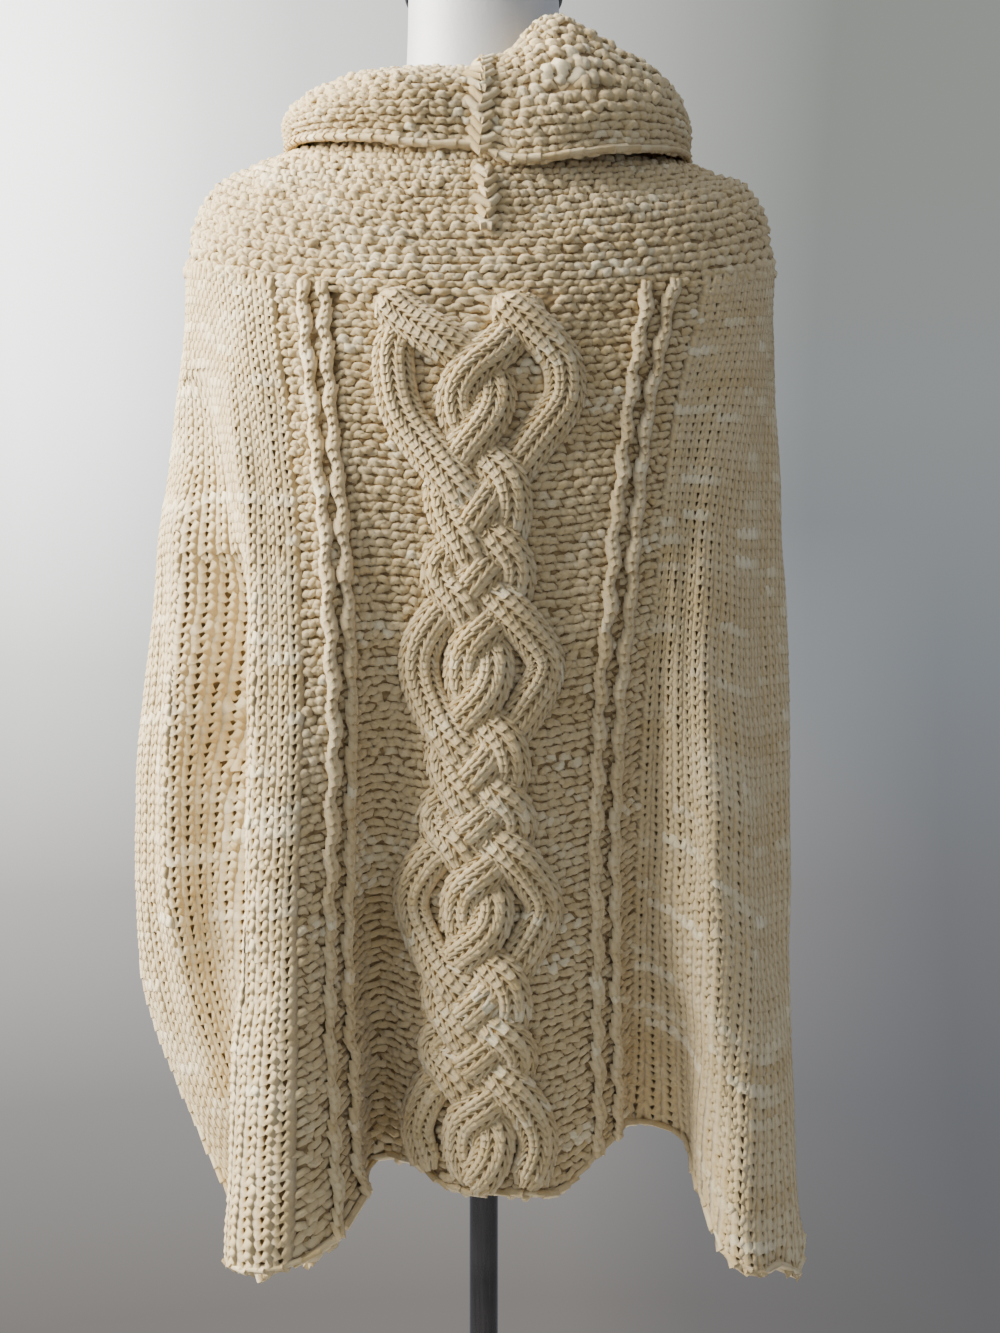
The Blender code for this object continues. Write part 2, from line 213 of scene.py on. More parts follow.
def collar_row(angle):
    """The collar table's columns at these angles."""
    degrees = (np.degrees(angle) + 180) % 360 - 180
    before = (COLLAR_STATIONS[-1][0] - 360, *COLLAR_STATIONS[-1][1:])
    after = [(row[0] + 360, *row[1:]) for row in COLLAR_STATIONS[:2]]
    wrapped = [before, *COLLAR_STATIONS, *after]
    return row_at(wrapped, COLLAR_COLUMNS, column(wrapped, COLLAR_COLUMNS, "angle"), degrees)


def collar_place(angle, along):
    """The collar's visible side: up from the neckline, over the roll and down to the folded part's edge."""
    row = collar_row(angle)
    base = yoke_place(angle, np.zeros_like(angle))
    base_r = np.hypot(base[..., 0], base[..., 1])
    base_z = base[..., 2] + COLLAR_LIFT
    edge_z = yoke_height(angle, row["edge_r"] - CLOTH) + EDGE_CLEARANCE
    top_r, top_z, out_r, out_z = row["top_r"], row["top_z"], row["out_r"], row["out_z"]
    places = (0.00, 0.17, 0.34, 0.52, 0.72, 1.00)
    radii = (
        base_r,
        base_r * 0.4 + top_r * 0.6 - STAND_LEAN,
        top_r,
        top_r * 0.45 + out_r * 0.55 + ROLL_FULLNESS,
        out_r,
        row["edge_r"],
    )
    heights = (
        base_z,
        base_z * 0.45 + top_z * 0.55,
        top_z,
        top_z * 0.55 + out_z * 0.45,
        out_z,
        edge_z,
    )
    radius, height = smooth(places, radii, along), smooth(places, heights, along)
    return stacked(np.sin(angle) * radius, -np.cos(angle) * radius, height)


print("yoke edge at the centre back:", np.round(yoke_place(np.zeros(1), np.ones(1))[0], 3))

# %% [markdown]
# ## The body panels
# Each panel hangs from the yoke's edge in folds. A row of the table is one line of stitches from the yoke
# to the hem, and says where that line hangs at three heights. The side seams join the panels down to the
# vents.

# %% Panel shapes
PANEL_COLUMNS = (
    "share", "upper_x", "upper_y", "mid_x", "mid_y", "hem_x", "hem_y", "hem_z",
)
BACK_FOLDS = [
    (0.000, -0.2400, 0.0060, -0.2500, 0.0000, -0.1540, -0.0700, 0.6160),
    (0.075, -0.2130, -0.0560, -0.2150, -0.0500, -0.1270, -0.0660, 0.6220),
    (0.130, -0.1760, -0.0900, -0.1820, -0.0560, -0.1140, -0.0860, 0.6320),
    (0.190, -0.1540, -0.1060, -0.1610, -0.1020, -0.1500, -0.1060, 0.6420),
    (0.230, -0.1430, -0.1180, -0.1520, -0.1320, -0.1640, -0.1380, 0.6480),
    (0.275, -0.1260, -0.1270, -0.1270, -0.1500, -0.1310, -0.1650, 0.6580),
    (0.325, -0.0990, -0.1300, -0.0960, -0.1330, -0.0890, -0.1430, 0.6740),
    (0.390, -0.0660, -0.1250, -0.0700, -0.0960, -0.0750, -0.0660, 0.6950),
    (0.440, -0.0330, -0.1260, -0.0410, -0.1080, -0.0400, -0.0960, 0.6910),
    (0.500, 0.0030, -0.1300, 0.0030, -0.1270, 0.0040, -0.1220, 0.6890),
    (0.560, 0.0430, -0.1260, 0.0430, -0.1210, 0.0440, -0.1180, 0.6880),
    (0.625, 0.0900, -0.1160, 0.0850, -0.1020, 0.0880, -0.0860, 0.7040),
    (0.680, 0.1160, -0.1080, 0.1080, -0.0840, 0.1060, -0.0520, 0.7180),
    (0.740, 0.1330, -0.1060, 0.1320, -0.1060, 0.1420, -0.0600, 0.7060),
    (0.800, 0.1540, -0.0980, 0.1540, -0.1200, 0.1450, -0.1160, 0.6760),
    (0.860, 0.1760, -0.0790, 0.1800, -0.0980, 0.1680, -0.1500, 0.6450),
    (0.930, 0.2020, -0.0400, 0.2080, -0.0520, 0.2110, -0.1000, 0.6370),
    (1.000, 0.2220, 0.0100, 0.2200, 0.0040, 0.2040, -0.0360, 0.6380),
]
FRONT_FOLDS = [
    (0.000, 0.2220, 0.0100, 0.2200, 0.0040, 0.1760, 0.0560, 0.6380),
    (0.110, 0.2080, 0.0640, 0.2060, 0.0700, 0.1840, 0.1180, 0.6440),
    (0.210, 0.1640, 0.1140, 0.1620, 0.1340, 0.1500, 0.1620, 0.6580),
    (0.310, 0.1080, 0.1400, 0.1060, 0.1320, 0.1040, 0.1160, 0.6860),
    (0.410, 0.0560, 0.1520, 0.0560, 0.1420, 0.0560, 0.1240, 0.6940),
    (0.500, 0.0000, 0.1580, 0.0020, 0.1580, 0.0040, 0.1560, 0.6940),
    (0.590, -0.0560, 0.1520, -0.0540, 0.1460, -0.0480, 0.1320, 0.6960),
    (0.690, -0.1120, 0.1380, -0.1060, 0.1260, -0.0900, 0.1120, 0.6900),
    (0.790, -0.1740, 0.1120, -0.1680, 0.1260, -0.1320, 0.1420, 0.6620),
    (0.890, -0.2230, 0.0640, -0.2260, 0.0640, -0.1540, 0.1080, 0.6360),
    (1.000, -0.2400, 0.0060, -0.2500, 0.0000, -0.1450, 0.0480, 0.6160),
]
LEVELS = (0.0, 0.30, 0.72, 1.0)
VENT_TOP = LEVELS[2]
SEAM_REACH = 0.12
SEAM_EASE = 0.0016
YOKE_EDGE_DROP = 0.0018
LEFT_SEAM_ANGLE = -100
RIGHT_SEAM_ANGLE = 98


def panel_place(folds, neighbour, first_angle, last_angle, share, down):
    """A point of a body panel's outside, share across it and down from the yoke's edge to the hem."""
    shares = column(folds, PANEL_COLUMNS, "share")
    next_share = neighbour[1][0]
    previous_share = neighbour[-2][0] - 1.0

    def at(name):
        values = column(folds, PANEL_COLUMNS, name)
        if name.startswith("hem"):
            return smooth(shares, values, share)
        beside = column(neighbour, PANEL_COLUMNS, name)
        places = [previous_share, *shares, 1.0 + next_share]
        return smooth(places, [beside[-2], *values, beside[1]], share)

    angle = np.radians(first_angle + (last_angle - first_angle) * share)
    top = yoke_place(angle, np.ones_like(angle))
    top_z = top[..., 2] - YOKE_EDGE_DROP
    near = np.maximum(0.0, 1.0 - np.minimum(share, 1.0 - share) / SEAM_REACH) / 2
    above_vent = down <= LEVELS[2]
    hems = []
    for name in ("hem_x", "hem_y"):
        index = PANEL_COLUMNS.index(name)
        beside = np.where(share < 0.5, neighbour[-1][index], neighbour[0][index])
        own = at(name)
        hems.append(own + (beside - own) * near * above_vent)
    x = smooth(LEVELS, (top[..., 0], at("upper_x"), at("mid_x"), hems[0]), down)
    y = smooth(LEVELS, (top[..., 1], at("upper_y"), at("mid_y"), hems[1]), down)
    return stacked(x, y, top_z + (at("hem_z") - top_z) * down)


def back_place(across, down):
    share = SEAM_EASE + across * (1 - 2 * SEAM_EASE)
    return panel_place(BACK_FOLDS, FRONT_FOLDS, LEFT_SEAM_ANGLE, RIGHT_SEAM_ANGLE, share, down)


def front_place(across, down):
    share = SEAM_EASE + across * (1 - 2 * SEAM_EASE)
    return panel_place(FRONT_FOLDS, BACK_FOLDS, RIGHT_SEAM_ANGLE, LEFT_SEAM_ANGLE + 360, share, down)


print("back panel's middle reaches down to z", round(float(back_place(np.array(0.5), np.array(1.0))[2]), 3))

# %% [markdown]
# ## Cloth as a grid that can be asked for places
# Stitches have to be spread evenly over the cloth, however it folds. So each piece becomes a fine grid
# whose columns and rows are evenly spaced along the cloth itself. Creases and a slightly lumpy hand are
# pressed into the grid here, and after that any point of the cloth, and the way it faces, is read from
# it.


# %% Cloth grids
def evened(steps, lengths):
    """New steps along a line, so that each stretch of it is as long as the next."""
    travelled = np.concatenate([[0.0], np.cumsum(lengths)])
    return np.interp(np.linspace(0, travelled[-1], len(steps)), travelled, steps)


def slope_along(grid, axis, closed):
    """The way a grid of points runs along one axis."""
    if not closed:
        return np.gradient(grid, axis=axis)
    ring = grid[:-1]
    turned = (np.roll(ring, -1, axis=0) - np.roll(ring, 1, axis=0)) / 2
    return np.concatenate([turned, turned[:1]])


def value_noise(shape, cells, rng, closed):
    """Soft lumps over a grid: random heights at a few cells, blended between them."""
    wide, tall = cells
    heights = rng.normal(size=(wide + 1, tall + 1))
    if closed:
        heights[-1] = heights[0]
    a, b = np.linspace(0, wide, shape[0]), np.linspace(0, tall, shape[1])
    i, j = np.minimum(a.astype(int), wide - 1), np.minimum(b.astype(int), tall - 1)
    s, t = (a - i)[:, None], (b - j)[None, :]
    s, t = s * s * (3 - 2 * s), t * t * (3 - 2 * t)
    near = heights[np.ix_(i, j)] * (1 - s) + heights[np.ix_(i + 1, j)] * s
    far = heights[np.ix_(i, j + 1)] * (1 - s) + heights[np.ix_(i + 1, j + 1)] * s
    return near * (1 - t) + far * t


class Cloth:
    """A knitted piece: u runs across it and v down it, both from 0 to 1 and evenly along the cloth."""

    def __init__(self, name, place, columns, rows, closed):
        self.name, self.closed = name, closed
        turn = math.tau if closed else 1.0
        u, v = np.linspace(0, 1, columns), np.linspace(0, 1, rows)
        for _ in range(3):
            points = place(u[:, None] * turn, v[None, :])
            across = np.linalg.norm(np.diff(points, axis=0), axis=-1).mean(axis=1)
            along = np.linalg.norm(np.diff(points, axis=1), axis=-1).mean(axis=0)
            self.width, self.length = across.sum(), along.sum()
            u, v = evened(u, across), evened(v, along)
        self.shares, self.downs = u, v
        self.points = place(u[:, None] * turn, v[None, :])
        self.face()

    def face(self):
        """Works out which way the cloth faces at each point."""
        across = slope_along(self.points, 0, self.closed)
        down = slope_along(self.points, 1, False)
        facing = np.cross(down, across)
        self.out = facing / np.maximum(np.linalg.norm(facing, axis=-1, keepdims=True), 1e-9)

    def press(self, heights, way=None):
        """Moves the cloth along its own outward way, or along a given one."""
        self.points = self.points + heights[..., None] * (self.out if way is None else np.array(way))
        self.face()

    def metric(self):
        """How far each grid point is across and down the cloth, in metres."""
        columns, rows = self.points.shape[:2]
        return np.meshgrid(
            np.linspace(0, self.width, columns), np.linspace(0, self.length, rows), indexing="ij"
        )

    def u_of(self, share):
        return float(np.interp(share, self.shares, np.linspace(0, 1, len(self.shares))))

    def v_of(self, down):
        return float(np.interp(down, self.downs, np.linspace(0, 1, len(self.downs))))

    def read(self, grid, u, v):
        columns, rows = grid.shape[:2]
        u = u % 1.0 if self.closed else np.clip(u, 0, 1)
        a, b = u * (columns - 1), np.clip(v, 0, 1) * (rows - 1)
        i = np.minimum(a.astype(int), columns - 2)
        j = np.minimum(b.astype(int), rows - 2)
        s, t = (a - i)[..., None], (b - j)[..., None]
        near = grid[i, j] * (1 - s) + grid[i + 1, j] * s
        far = grid[i, j + 1] * (1 - s) + grid[i + 1, j + 1] * s
        return near * (1 - t) + far * t

    def outward(self, u, v):
        found = self.read(self.out, u, v)
        return found / np.linalg.norm(found, axis=-1, keepdims=True)

    def at(self, u, v, lift=0.0):
        """Points of the cloth, lifted off it. Past an edge the cloth's own slope is followed."""
        inside_u = u if self.closed else np.clip(u, 0, 1)
        inside_v = np.clip(v, 0, 1)
        found = self.read(self.points, inside_u, inside_v)
        step = 0.01
        back_v = np.where(v > 1, inside_v - step, inside_v + step)
        slope = (found - self.read(self.points, inside_u, back_v)) / step
        found = found + slope * np.abs(v - inside_v)[..., None]
        if not self.closed:
            back_u = np.where(u > 1, inside_u - step, inside_u + step)
            slope = (found - self.read(self.points, back_u, inside_v)) / step
            past = np.abs(u - inside_u)[..., None]
            found = found + np.where(past > 0, slope * past, 0.0)
        lift = np.broadcast_to(lift, np.shape(u))[..., None]
        return found + self.outward(inside_u, inside_v) * lift


yoke = Cloth("yoke", yoke_place, 241, 41, closed=True)
collar = Cloth("cowl_collar", collar_place, 241, 61, closed=True)
back = Cloth("back_panel", back_place, 361, 181, closed=False)
front = Cloth("front_panel", front_place, 361, 181, closed=False)
for cloth in (yoke, collar, back, front):
    print(f"{cloth.name}: {cloth.width:.3f} m across and {cloth.length:.3f} m down")

# %% [markdown]
# ## Creases and a worn hand
# Knitted cloth never hangs in perfectly smooth curves. Soft ridges and troughs are pressed in one by one,
# each a line on the cloth with its own width and depth, and then a faint lumpiness. The hem is pulled
# about as well, because the cast-off edge of such a loose knit waves and curls a little.

# %% Creases
CREASE_COLUMNS = ("piece", "from_u", "from_v", "to_u", "to_v", "width", "height")
CREASES = [
    ("back_panel", 0.112, 0.12, 0.160, 0.52, 0.023, -0.0150),
    ("back_panel", 0.138, 0.30, 0.200, 0.74, 0.021, -0.0180),
    ("back_panel", 0.198, 0.52, 0.185, 0.96, 0.018, -0.0130),
    ("back_panel", 0.212, 0.10, 0.242, 0.74, 0.015, 0.0080),
    ("back_panel", 0.235, 0.66, 0.200, 1.00, 0.012, 0.0050),
    ("back_panel", 0.085, 0.22, 0.095, 0.72, 0.013, 0.0050),
    ("back_panel", 0.050, 0.30, 0.060, 0.90, 0.012, -0.0040),
    ("back_panel", 0.290, 0.10, 0.300, 0.60, 0.012, -0.0030),
    ("back_panel", 0.330, 0.66, 0.325, 1.00, 0.014, -0.0060),
    ("back_panel", 0.375, 0.45, 0.400, 0.97, 0.012, -0.0040),
    ("back_panel", 0.590, 0.20, 0.600, 0.80, 0.012, -0.0030),
    ("back_panel", 0.745, 0.06, 0.760, 0.70, 0.013, -0.0040),
    ("back_panel", 0.820, 0.30, 0.845, 0.95, 0.011, 0.0035),
    ("back_panel", 0.905, 0.10, 0.900, 0.75, 0.015, -0.0040),
    ("back_panel", 0.955, 0.45, 0.950, 0.98, 0.012, 0.0030),
    ("front_panel", 0.090, 0.05, 0.080, 0.70, 0.016, -0.0040),
    ("front_panel", 0.230, 0.15, 0.250, 0.85, 0.013, 0.0040),
    ("front_panel", 0.400, 0.05, 0.420, 0.60, 0.015, -0.0040),
    ("front_panel", 0.540, 0.30, 0.530, 0.95, 0.012, 0.0030),
    ("front_panel", 0.700, 0.04, 0.690, 0.66, 0.014, -0.0040),
    ("front_panel", 0.860, 0.20, 0.850, 0.90, 0.015, 0.0040),
    ("yoke", 0.060, 0.55, 0.150, 0.70, 0.007, 0.0020),
    ("yoke", 0.170, 0.60, 0.250, 0.45, 0.009, -0.0030),
    ("yoke", 0.400, 0.50, 0.560, 0.62, 0.009, -0.0030),
    ("yoke", 0.760, 0.45, 0.850, 0.62, 0.008, -0.0025),
    ("yoke", 0.880, 0.60, 0.960, 0.74, 0.008, 0.0025),
    ("cowl_collar", 0.020, 0.60, 0.090, 0.76, 0.007, -0.0030),
    ("cowl_collar", 0.110, 0.42, 0.200, 0.70, 0.009, 0.0035),
    ("cowl_collar", 0.180, 0.12, 0.215, 0.62, 0.011, -0.0130),
    ("cowl_collar", 0.300, 0.55, 0.420, 0.80, 0.010, -0.0040),
    ("cowl_collar", 0.620, 0.50, 0.740, 0.78, 0.010, -0.0040),
    ("cowl_collar", 0.850, 0.45, 0.950, 0.66, 0.008, 0.0030),
]
LUMPS = {
    "back_panel": (0.0011, (16, 14)),
    "front_panel": (0.0012, (14, 14)),
    "yoke": (0.0009, (26, 5)),
    "cowl_collar": (0.0016, (18, 5)),
}
HEM_WAVE = 0.0040
HEM_WAVE_OUT = 0.6
HEM_WAVES = (34, 1)
HEM_SHARE = 0.06


def crease_heights(cloth):
    """The height of every crease of one cloth at each of its grid points."""
    across, down = cloth.metric()
    heights = np.zeros_like(across)
    for row in CREASES:
        crease = dict(zip(CREASE_COLUMNS, row))
        if crease["piece"] != cloth.name:
            continue
        start = np.array([crease["from_u"] * cloth.width, crease["from_v"] * cloth.length])
        way = np.array([crease["to_u"] * cloth.width, crease["to_v"] * cloth.length]) - start
        far = np.linalg.norm(way)
        way /= far
        reach = (across - start[0]) * way[0] + (down - start[1]) * way[1]
        aside = (across - start[0]) * way[1] - (down - start[1]) * way[0]
        ends = np.clip(reach / far, 0, 1) * np.clip(1 - reach / far, 0, 1) * 4
        heights += crease["height"] * np.exp(-((aside / crease["width"]) ** 2)) * np.sqrt(ends)
    return heights


soft_hand = np.random.default_rng(11)
for cloth in (yoke, collar, back, front):
    size, cells = LUMPS[cloth.name]
    lumps = value_noise(cloth.points.shape[:2], cells, soft_hand, cloth.closed) * size
    cloth.press(crease_heights(cloth) + lumps)
for cloth in (back, front):
    near_hem = np.clip((np.linspace(0, 1, cloth.points.shape[1]) - 1 + HEM_SHARE) / HEM_SHARE, 0, 1) ** 2
    wave = value_noise(cloth.points.shape[:2], HEM_WAVES, soft_hand, False)
    cloth.press(wave * near_hem[None, :] * HEM_WAVE, (0.0, 0.0, 1.0))
    cloth.press(wave[::-1] * near_hem[None, :] * HEM_WAVE * HEM_WAVE_OUT)
print(len(CREASES), "creases pressed in")

# %% [markdown]
# ## Materials as expressions
# Node trees are easier to read as sums than as lists of links. This small class wraps a socket so that
# ordinary operators add Math nodes, and one method makes any other node. Geometry Nodes trees use the
# same class below.


# %% Node helpers
class Wire:
    """A node's output that plus, minus, times and divide work on."""

    def __init__(self, graph, socket):
        self.graph, self.socket = graph, socket

    def maths(self, operation, *others):
        return self.graph.node("ShaderNodeMath", {"operation": operation}, dict(enumerate((self, *others))))

    def __add__(self, other):
        return self.maths("ADD", other)

    def __radd__(self, other):
        return self.maths("ADD", other)

    def __sub__(self, other):
        return self.maths("SUBTRACT", other)

    def __rsub__(self, other):
        return self.graph.node("ShaderNodeMath", {"operation": "SUBTRACT"}, {0: other, 1: self})

    def __mul__(self, other):
        return self.maths("MULTIPLY", other)

    def __rmul__(self, other):
        return self.maths("MULTIPLY", other)

    def __truediv__(self, other):
        return self.maths("DIVIDE", other)

    def __pow__(self, other):
        return self.maths("POWER", other)

    def sine(self):
        return self.maths("SINE")

    def size(self):
        return self.maths("ABSOLUTE")

    def held(self):
        """Kept between 0 and 1."""
        return self.graph.node("ShaderNodeClamp", {}, {"Value": self})


class Graph:
    """A node tree, with one method for every kind of node."""

    def __init__(self, tree):
        self.tree = tree

    def node(self, kind, settings=None, values=None, out=0):
        made = self.tree.nodes.new(kind)
        for name, value in (settings or {}).items():
            if name == "stops":
                ramp = made.color_ramp
                while len(ramp.elements) < len(value):
                    ramp.elements.new(0.5)
                for element, (place, colour) in zip(ramp.elements, value):
                    element.position, element.color = place, (*colour, 1.0)
            else:
                setattr(made, name, value)
        for name, value in (values or {}).items():
            socket = made.inputs[name]
            if isinstance(value, Wire):
                self.tree.links.new(value.socket, socket)
            elif isinstance(value, tuple) and len(value) == 3 and socket.type == "RGBA":
                socket.default_value = (*value, 1.0)
            else:
                socket.default_value = value
        return Wire(self, made.outputs[out])

    def mix(self, share, first, second):
        """A colour between two colours."""
        return self.node("ShaderNodeMix", {"data_type": "RGBA"}, {0: share, 6: first, 7: second}, out=2)

    def noise(self, place, scale, detail=2.0, roughness=0.5):
        values = {"Vector": place, "Scale": scale, "Detail": detail, "Roughness": roughness}
        return self.node("ShaderNodeTexNoise", {}, values)

    def split(self, place):
        """The three numbers of a place."""
        made = self.node("ShaderNodeSeparateXYZ", {}, {"Vector": place}).socket.node
        return [Wire(self, made.outputs[k]) for k in range(3)]

    def attribute(self, name):
        return self.node("ShaderNodeAttribute", {"attribute_name": name}, out="Fac")

    def bump(self, height, distance, strength=1.0):
        return self.node("ShaderNodeBump", {}, {"Height": height, "Distance": distance, "Strength": strength})


def new_material(name, roughness=0.5, **constants):
    """A material with its Principled shader, whose constant sockets are set by name."""
    material = bpy.data.materials.new(name)
    material.use_nodes = True
    shader = material.node_tree.nodes["Principled BSDF"]
    shader.inputs["Roughness"].default_value = roughness
    for socket, value in constants.items():
        shader.inputs[socket.replace("_", " ")].default_value = value
    return material, Graph(material.node_tree), shader


def feed(graph, shader, **wires):
    for socket, wire in wires.items():
        graph.tree.links.new(wire.socket, shader.inputs[socket.replace("_", " ")])


print("node helpers ready")

# %% [markdown]
# ## Slub yarn
# The yarn is spun unevenly: long tan stretches with short thick pale ones. Every stitch carries a number
# for that, so a pale slub runs on from stitch to stitch along its row. Loose fibres break the light up,
# so the yarn is rough, has a little sheen, and a fine bump. The ends of each leg, where they dive under the
# next stitch, are painted darker as shade, and a fine noise darkens single fibres at random.

# %% Yarn material
# TAN and CREAM are the yarn's own colours. The third colour is painted shade for leg ends and also the tone
# of random dark fibres. The fourth is painted shade for the gaps between stitches.
TAN = (0.620, 0.450, 0.200)
CREAM = (0.870, 0.745, 0.480)
PAINTED_SHADING_AND_DARK_FIBRE = (0.440, 0.300, 0.130)
PAINTED_CREVICE_SHADING = (0.400, 0.275, 0.120)


def yarn_material(name):
    fuzz = {"Sheen_Weight": 0.30, "Sheen_Roughness": 0.6, "Specular_IOR_Level": 0.15}
    material, g, shader = new_material(name, 0.92, **fuzz)
    place = g.node("ShaderNodeTexCoord", out="Object")
    slub, along = g.attribute("slub"), g.attribute("along")
    mottle = g.noise(place, 160.0, 3.0, 0.6)
    fibre = g.noise(place, 1500.0, 2.0, 0.7)
    pale = (slub + (mottle - 0.5) * 0.7).held()
    # Painted shade: each leg's ends, where it dives under the next stitch, darken towards the shading colour.
    # The fibre noise adds random dark fibres.
    ends = ((along - 0.5) * 2.0).size() ** 3.0
    colour = g.mix(pale, TAN, CREAM)
    colour = g.mix((ends * 0.30 + (0.52 - fibre) * 0.9).held(), colour, PAINTED_SHADING_AND_DARK_FIBRE)
    feed(g, shader, Base_Color=colour, Normal=g.bump(fibre + mottle * 0.6, 0.0011, 0.8))
    return material


yarn = yarn_material("slub_yarn")
print("made", yarn.name)

# %% [markdown]
# ## Cloth behind the stitches
# Between the legs of the stitches one looks into the thickness of the cloth, where little light goes, so
# the sheet there is painted a deep brown as shade. On the inside of the garment the same knit shows its
# other face. Both are finished by patterns that follow the cloth's own map, which counts in stitches: one
# unit across is one column of stitches, and one unit down is one row. The patterns are painted darker in
# their hollows as shade.

# %% Sheet materials
WALE = 0.0100
PLAIN_WALE = 0.0087
ROW = 0.0064
STITCH_MAP = "stitches"
PAINTED_DEEP_CREVICE_SHADING = (0.20, 0.13, 0.055)


def sheet_material(name, low, high, depth):
    """Knitted cloth as a pattern of bars, half a stitch aside on every other row, painted darker in its
    hollows as shade.
    """
    fuzz = {"Sheen_Weight": 0.2, "Sheen_Roughness": 0.6, "Specular_IOR_Level": 0.1}
    material, g, shader = new_material(name, 0.95, **fuzz)
    across, down, _ = g.split(g.node("ShaderNodeUVMap", {"uv_map": STITCH_MAP}))
    bars = (down * math.tau).sine() * (across * math.tau).sine() * 0.5 + 0.5
    place = g.node("ShaderNodeTexCoord", out="Object")
    mottle = g.noise(place, 220.0, 3.0, 0.6)
    height = bars * 0.7 + mottle * 0.5
    # Painted shade: the colour goes from low in the pattern's hollows to high on its bars.
    colour = g.mix((height - 0.2).held(), low, high)
    feed(g, shader, Base_Color=colour, Normal=g.bump(height, depth, 0.9))
    return material


# Painted shade: the sheet seen between the stitches is a dark brown, standing for the shade inside the cloth.
shading_painted_between_stitches = sheet_material("cloth_behind_stitches", PAINTED_DEEP_CREVICE_SHADING, PAINTED_CREVICE_SHADING, 0.0020)
# Painted shade: the strands' cores, seen between their legs, run from the crevice shade to tan.
strand_core = sheet_material("cloth_inside_strands", PAINTED_CREVICE_SHADING, TAN, 0.0010)
# The inside face is tan, painted darker as shade in its hollows.
inside_face = sheet_material("cloth_inside_face", PAINTED_SHADING_AND_DARK_FIBRE, TAN, 0.0025)
print("made", shading_painted_between_stitches.name, "and", inside_face.name)

# %% [markdown]
# ## The thin sheets
# Each sheet is an outer and an inner grid with a rim between them, so it is closed and has a real
# thickness. The stitches stand on its outer side. It also gets a map for baking, with the two sides next
# to each other.

# %% Sheets
OUTER_DEPTH = -0.0016
INNER_DEPTH = -0.0040
BAKE_MAP = "OFBake"


def add_piece(name, mesh):
    piece = bpy.data.objects.new(name, mesh)
    bpy.context.scene.collection.objects.link(piece)
    return piece


def mesh_of(name, points, faces, maps, material_of_face=None):
    """A mesh from points and four-cornered faces, with each map given as one (u, v) per corner."""
    mesh = bpy.data.meshes.new(name)
    mesh.from_pydata(points.tolist(), [], faces.tolist())
    for map_name, corners in maps.items():
        layer = mesh.uv_layers.new(name=map_name)
        layer.data.foreach_set("uv", np.asarray(corners, np.float32).ravel())
    if material_of_face is not None:
        mesh.polygons.foreach_set("material_index", np.asarray(material_of_face, np.int32))
    mesh.shade_smooth()
    return mesh


def ring_faces(count, sides):
    """The four-cornered faces between rings of points that follow each other."""
    i, k = np.meshgrid(np.arange(count - 1), np.arange(sides), indexing="ij")
    here, after = i.ravel() * sides, (k.ravel() + 1) % sides
    k = k.ravel()
    return np.stack([here + k, here + after, here + sides + after, here + sides + k], axis=1)


def sheet_piece(cloth, columns, rows):
    """The thin closed sheet of one cloth, as a piece."""
    u, v = np.linspace(0, 1, columns + 1), np.linspace(0, 1, rows + 1)
    grid_u, grid_v = np.meshgrid(u, v, indexing="ij")
    sides = [cloth.at(grid_u, grid_v, OUTER_DEPTH), cloth.at(grid_u, grid_v, INNER_DEPTH)]
    wide = columns if cloth.closed else columns + 1
    tall = rows + 1
    points = np.concatenate([side[:wide].reshape(-1, 3) for side in sides])
    shift = wide * tall
    i, j = np.meshgrid(np.arange(columns), np.arange(rows), indexing="ij")
    i, j = i.ravel(), j.ravel()
    after = (i + 1) % wide
    outer = np.stack([i * tall + j, i * tall + j + 1, after * tall + j + 1, after * tall + j], axis=1)
    corner_u = np.stack([i, i, i + 1, i + 1], axis=1) / columns
    corner_v = np.stack([j, j + 1, j + 1, j], axis=1) / rows
    inner = outer[:, ::-1] + shift
    faces, us, vs = [outer, inner], [corner_u, corner_u[:, ::-1]], [corner_v, corner_v[:, ::-1]]
    rims = []
    k = np.arange(columns)
    for row, turned in ((0, False), (rows, True)):
        a, b = k * tall + row, (k + 1) % wide * tall + row
        rims.append((np.stack([a, b, b + shift, a + shift], axis=1), turned))
    if not cloth.closed:
        k = np.arange(rows)
        for side, turned in ((0, True), (columns, False)):
            a, b = side * tall + k, side * tall + k + 1
            rims.append((np.stack([a, b, b + shift, a + shift], axis=1), turned))
    rim = np.concatenate([face[:, ::-1] if turned else face for face, turned in rims])
    cells = np.arange(len(rim))[:, None] / len(rim)
    one = 0.8 / len(rim)
    rim_u = np.tile([0.982, 0.998, 0.998, 0.982], (len(rim), 1))
    rim_v = cells + np.array([0, 0, one, one])
    bake_u = np.concatenate([us[0] * 0.485, 0.49 + us[1] * 0.485, rim_u])
    bake_v = np.concatenate([vs[0], vs[1], rim_v])
    stitch_u = np.concatenate([us[0], us[1], rim_u]) * round(cloth.width / WALE)
    stitch_v = np.concatenate([vs[0], vs[1], rim_v]) * round(cloth.length / ROW)
    maps = {
        BAKE_MAP: np.stack([bake_u, bake_v], axis=-1),
        STITCH_MAP: np.stack([stitch_u, stitch_v], axis=-1),
    }
    inside = np.concatenate([np.zeros(len(outer)), np.ones(len(inner)), np.ones(len(rim))])
    faces = np.concatenate([*faces, rim])
    piece = add_piece(cloth.name + "_sheet", mesh_of(cloth.name + "_sheet", points, faces, maps, inside))
    # The outer side shows the painted shade between the stitches, and the inner side shows the knit's other
    # face.
    piece.data.materials.append(shading_painted_between_stitches)
    piece.data.materials.append(inside_face)
    return piece


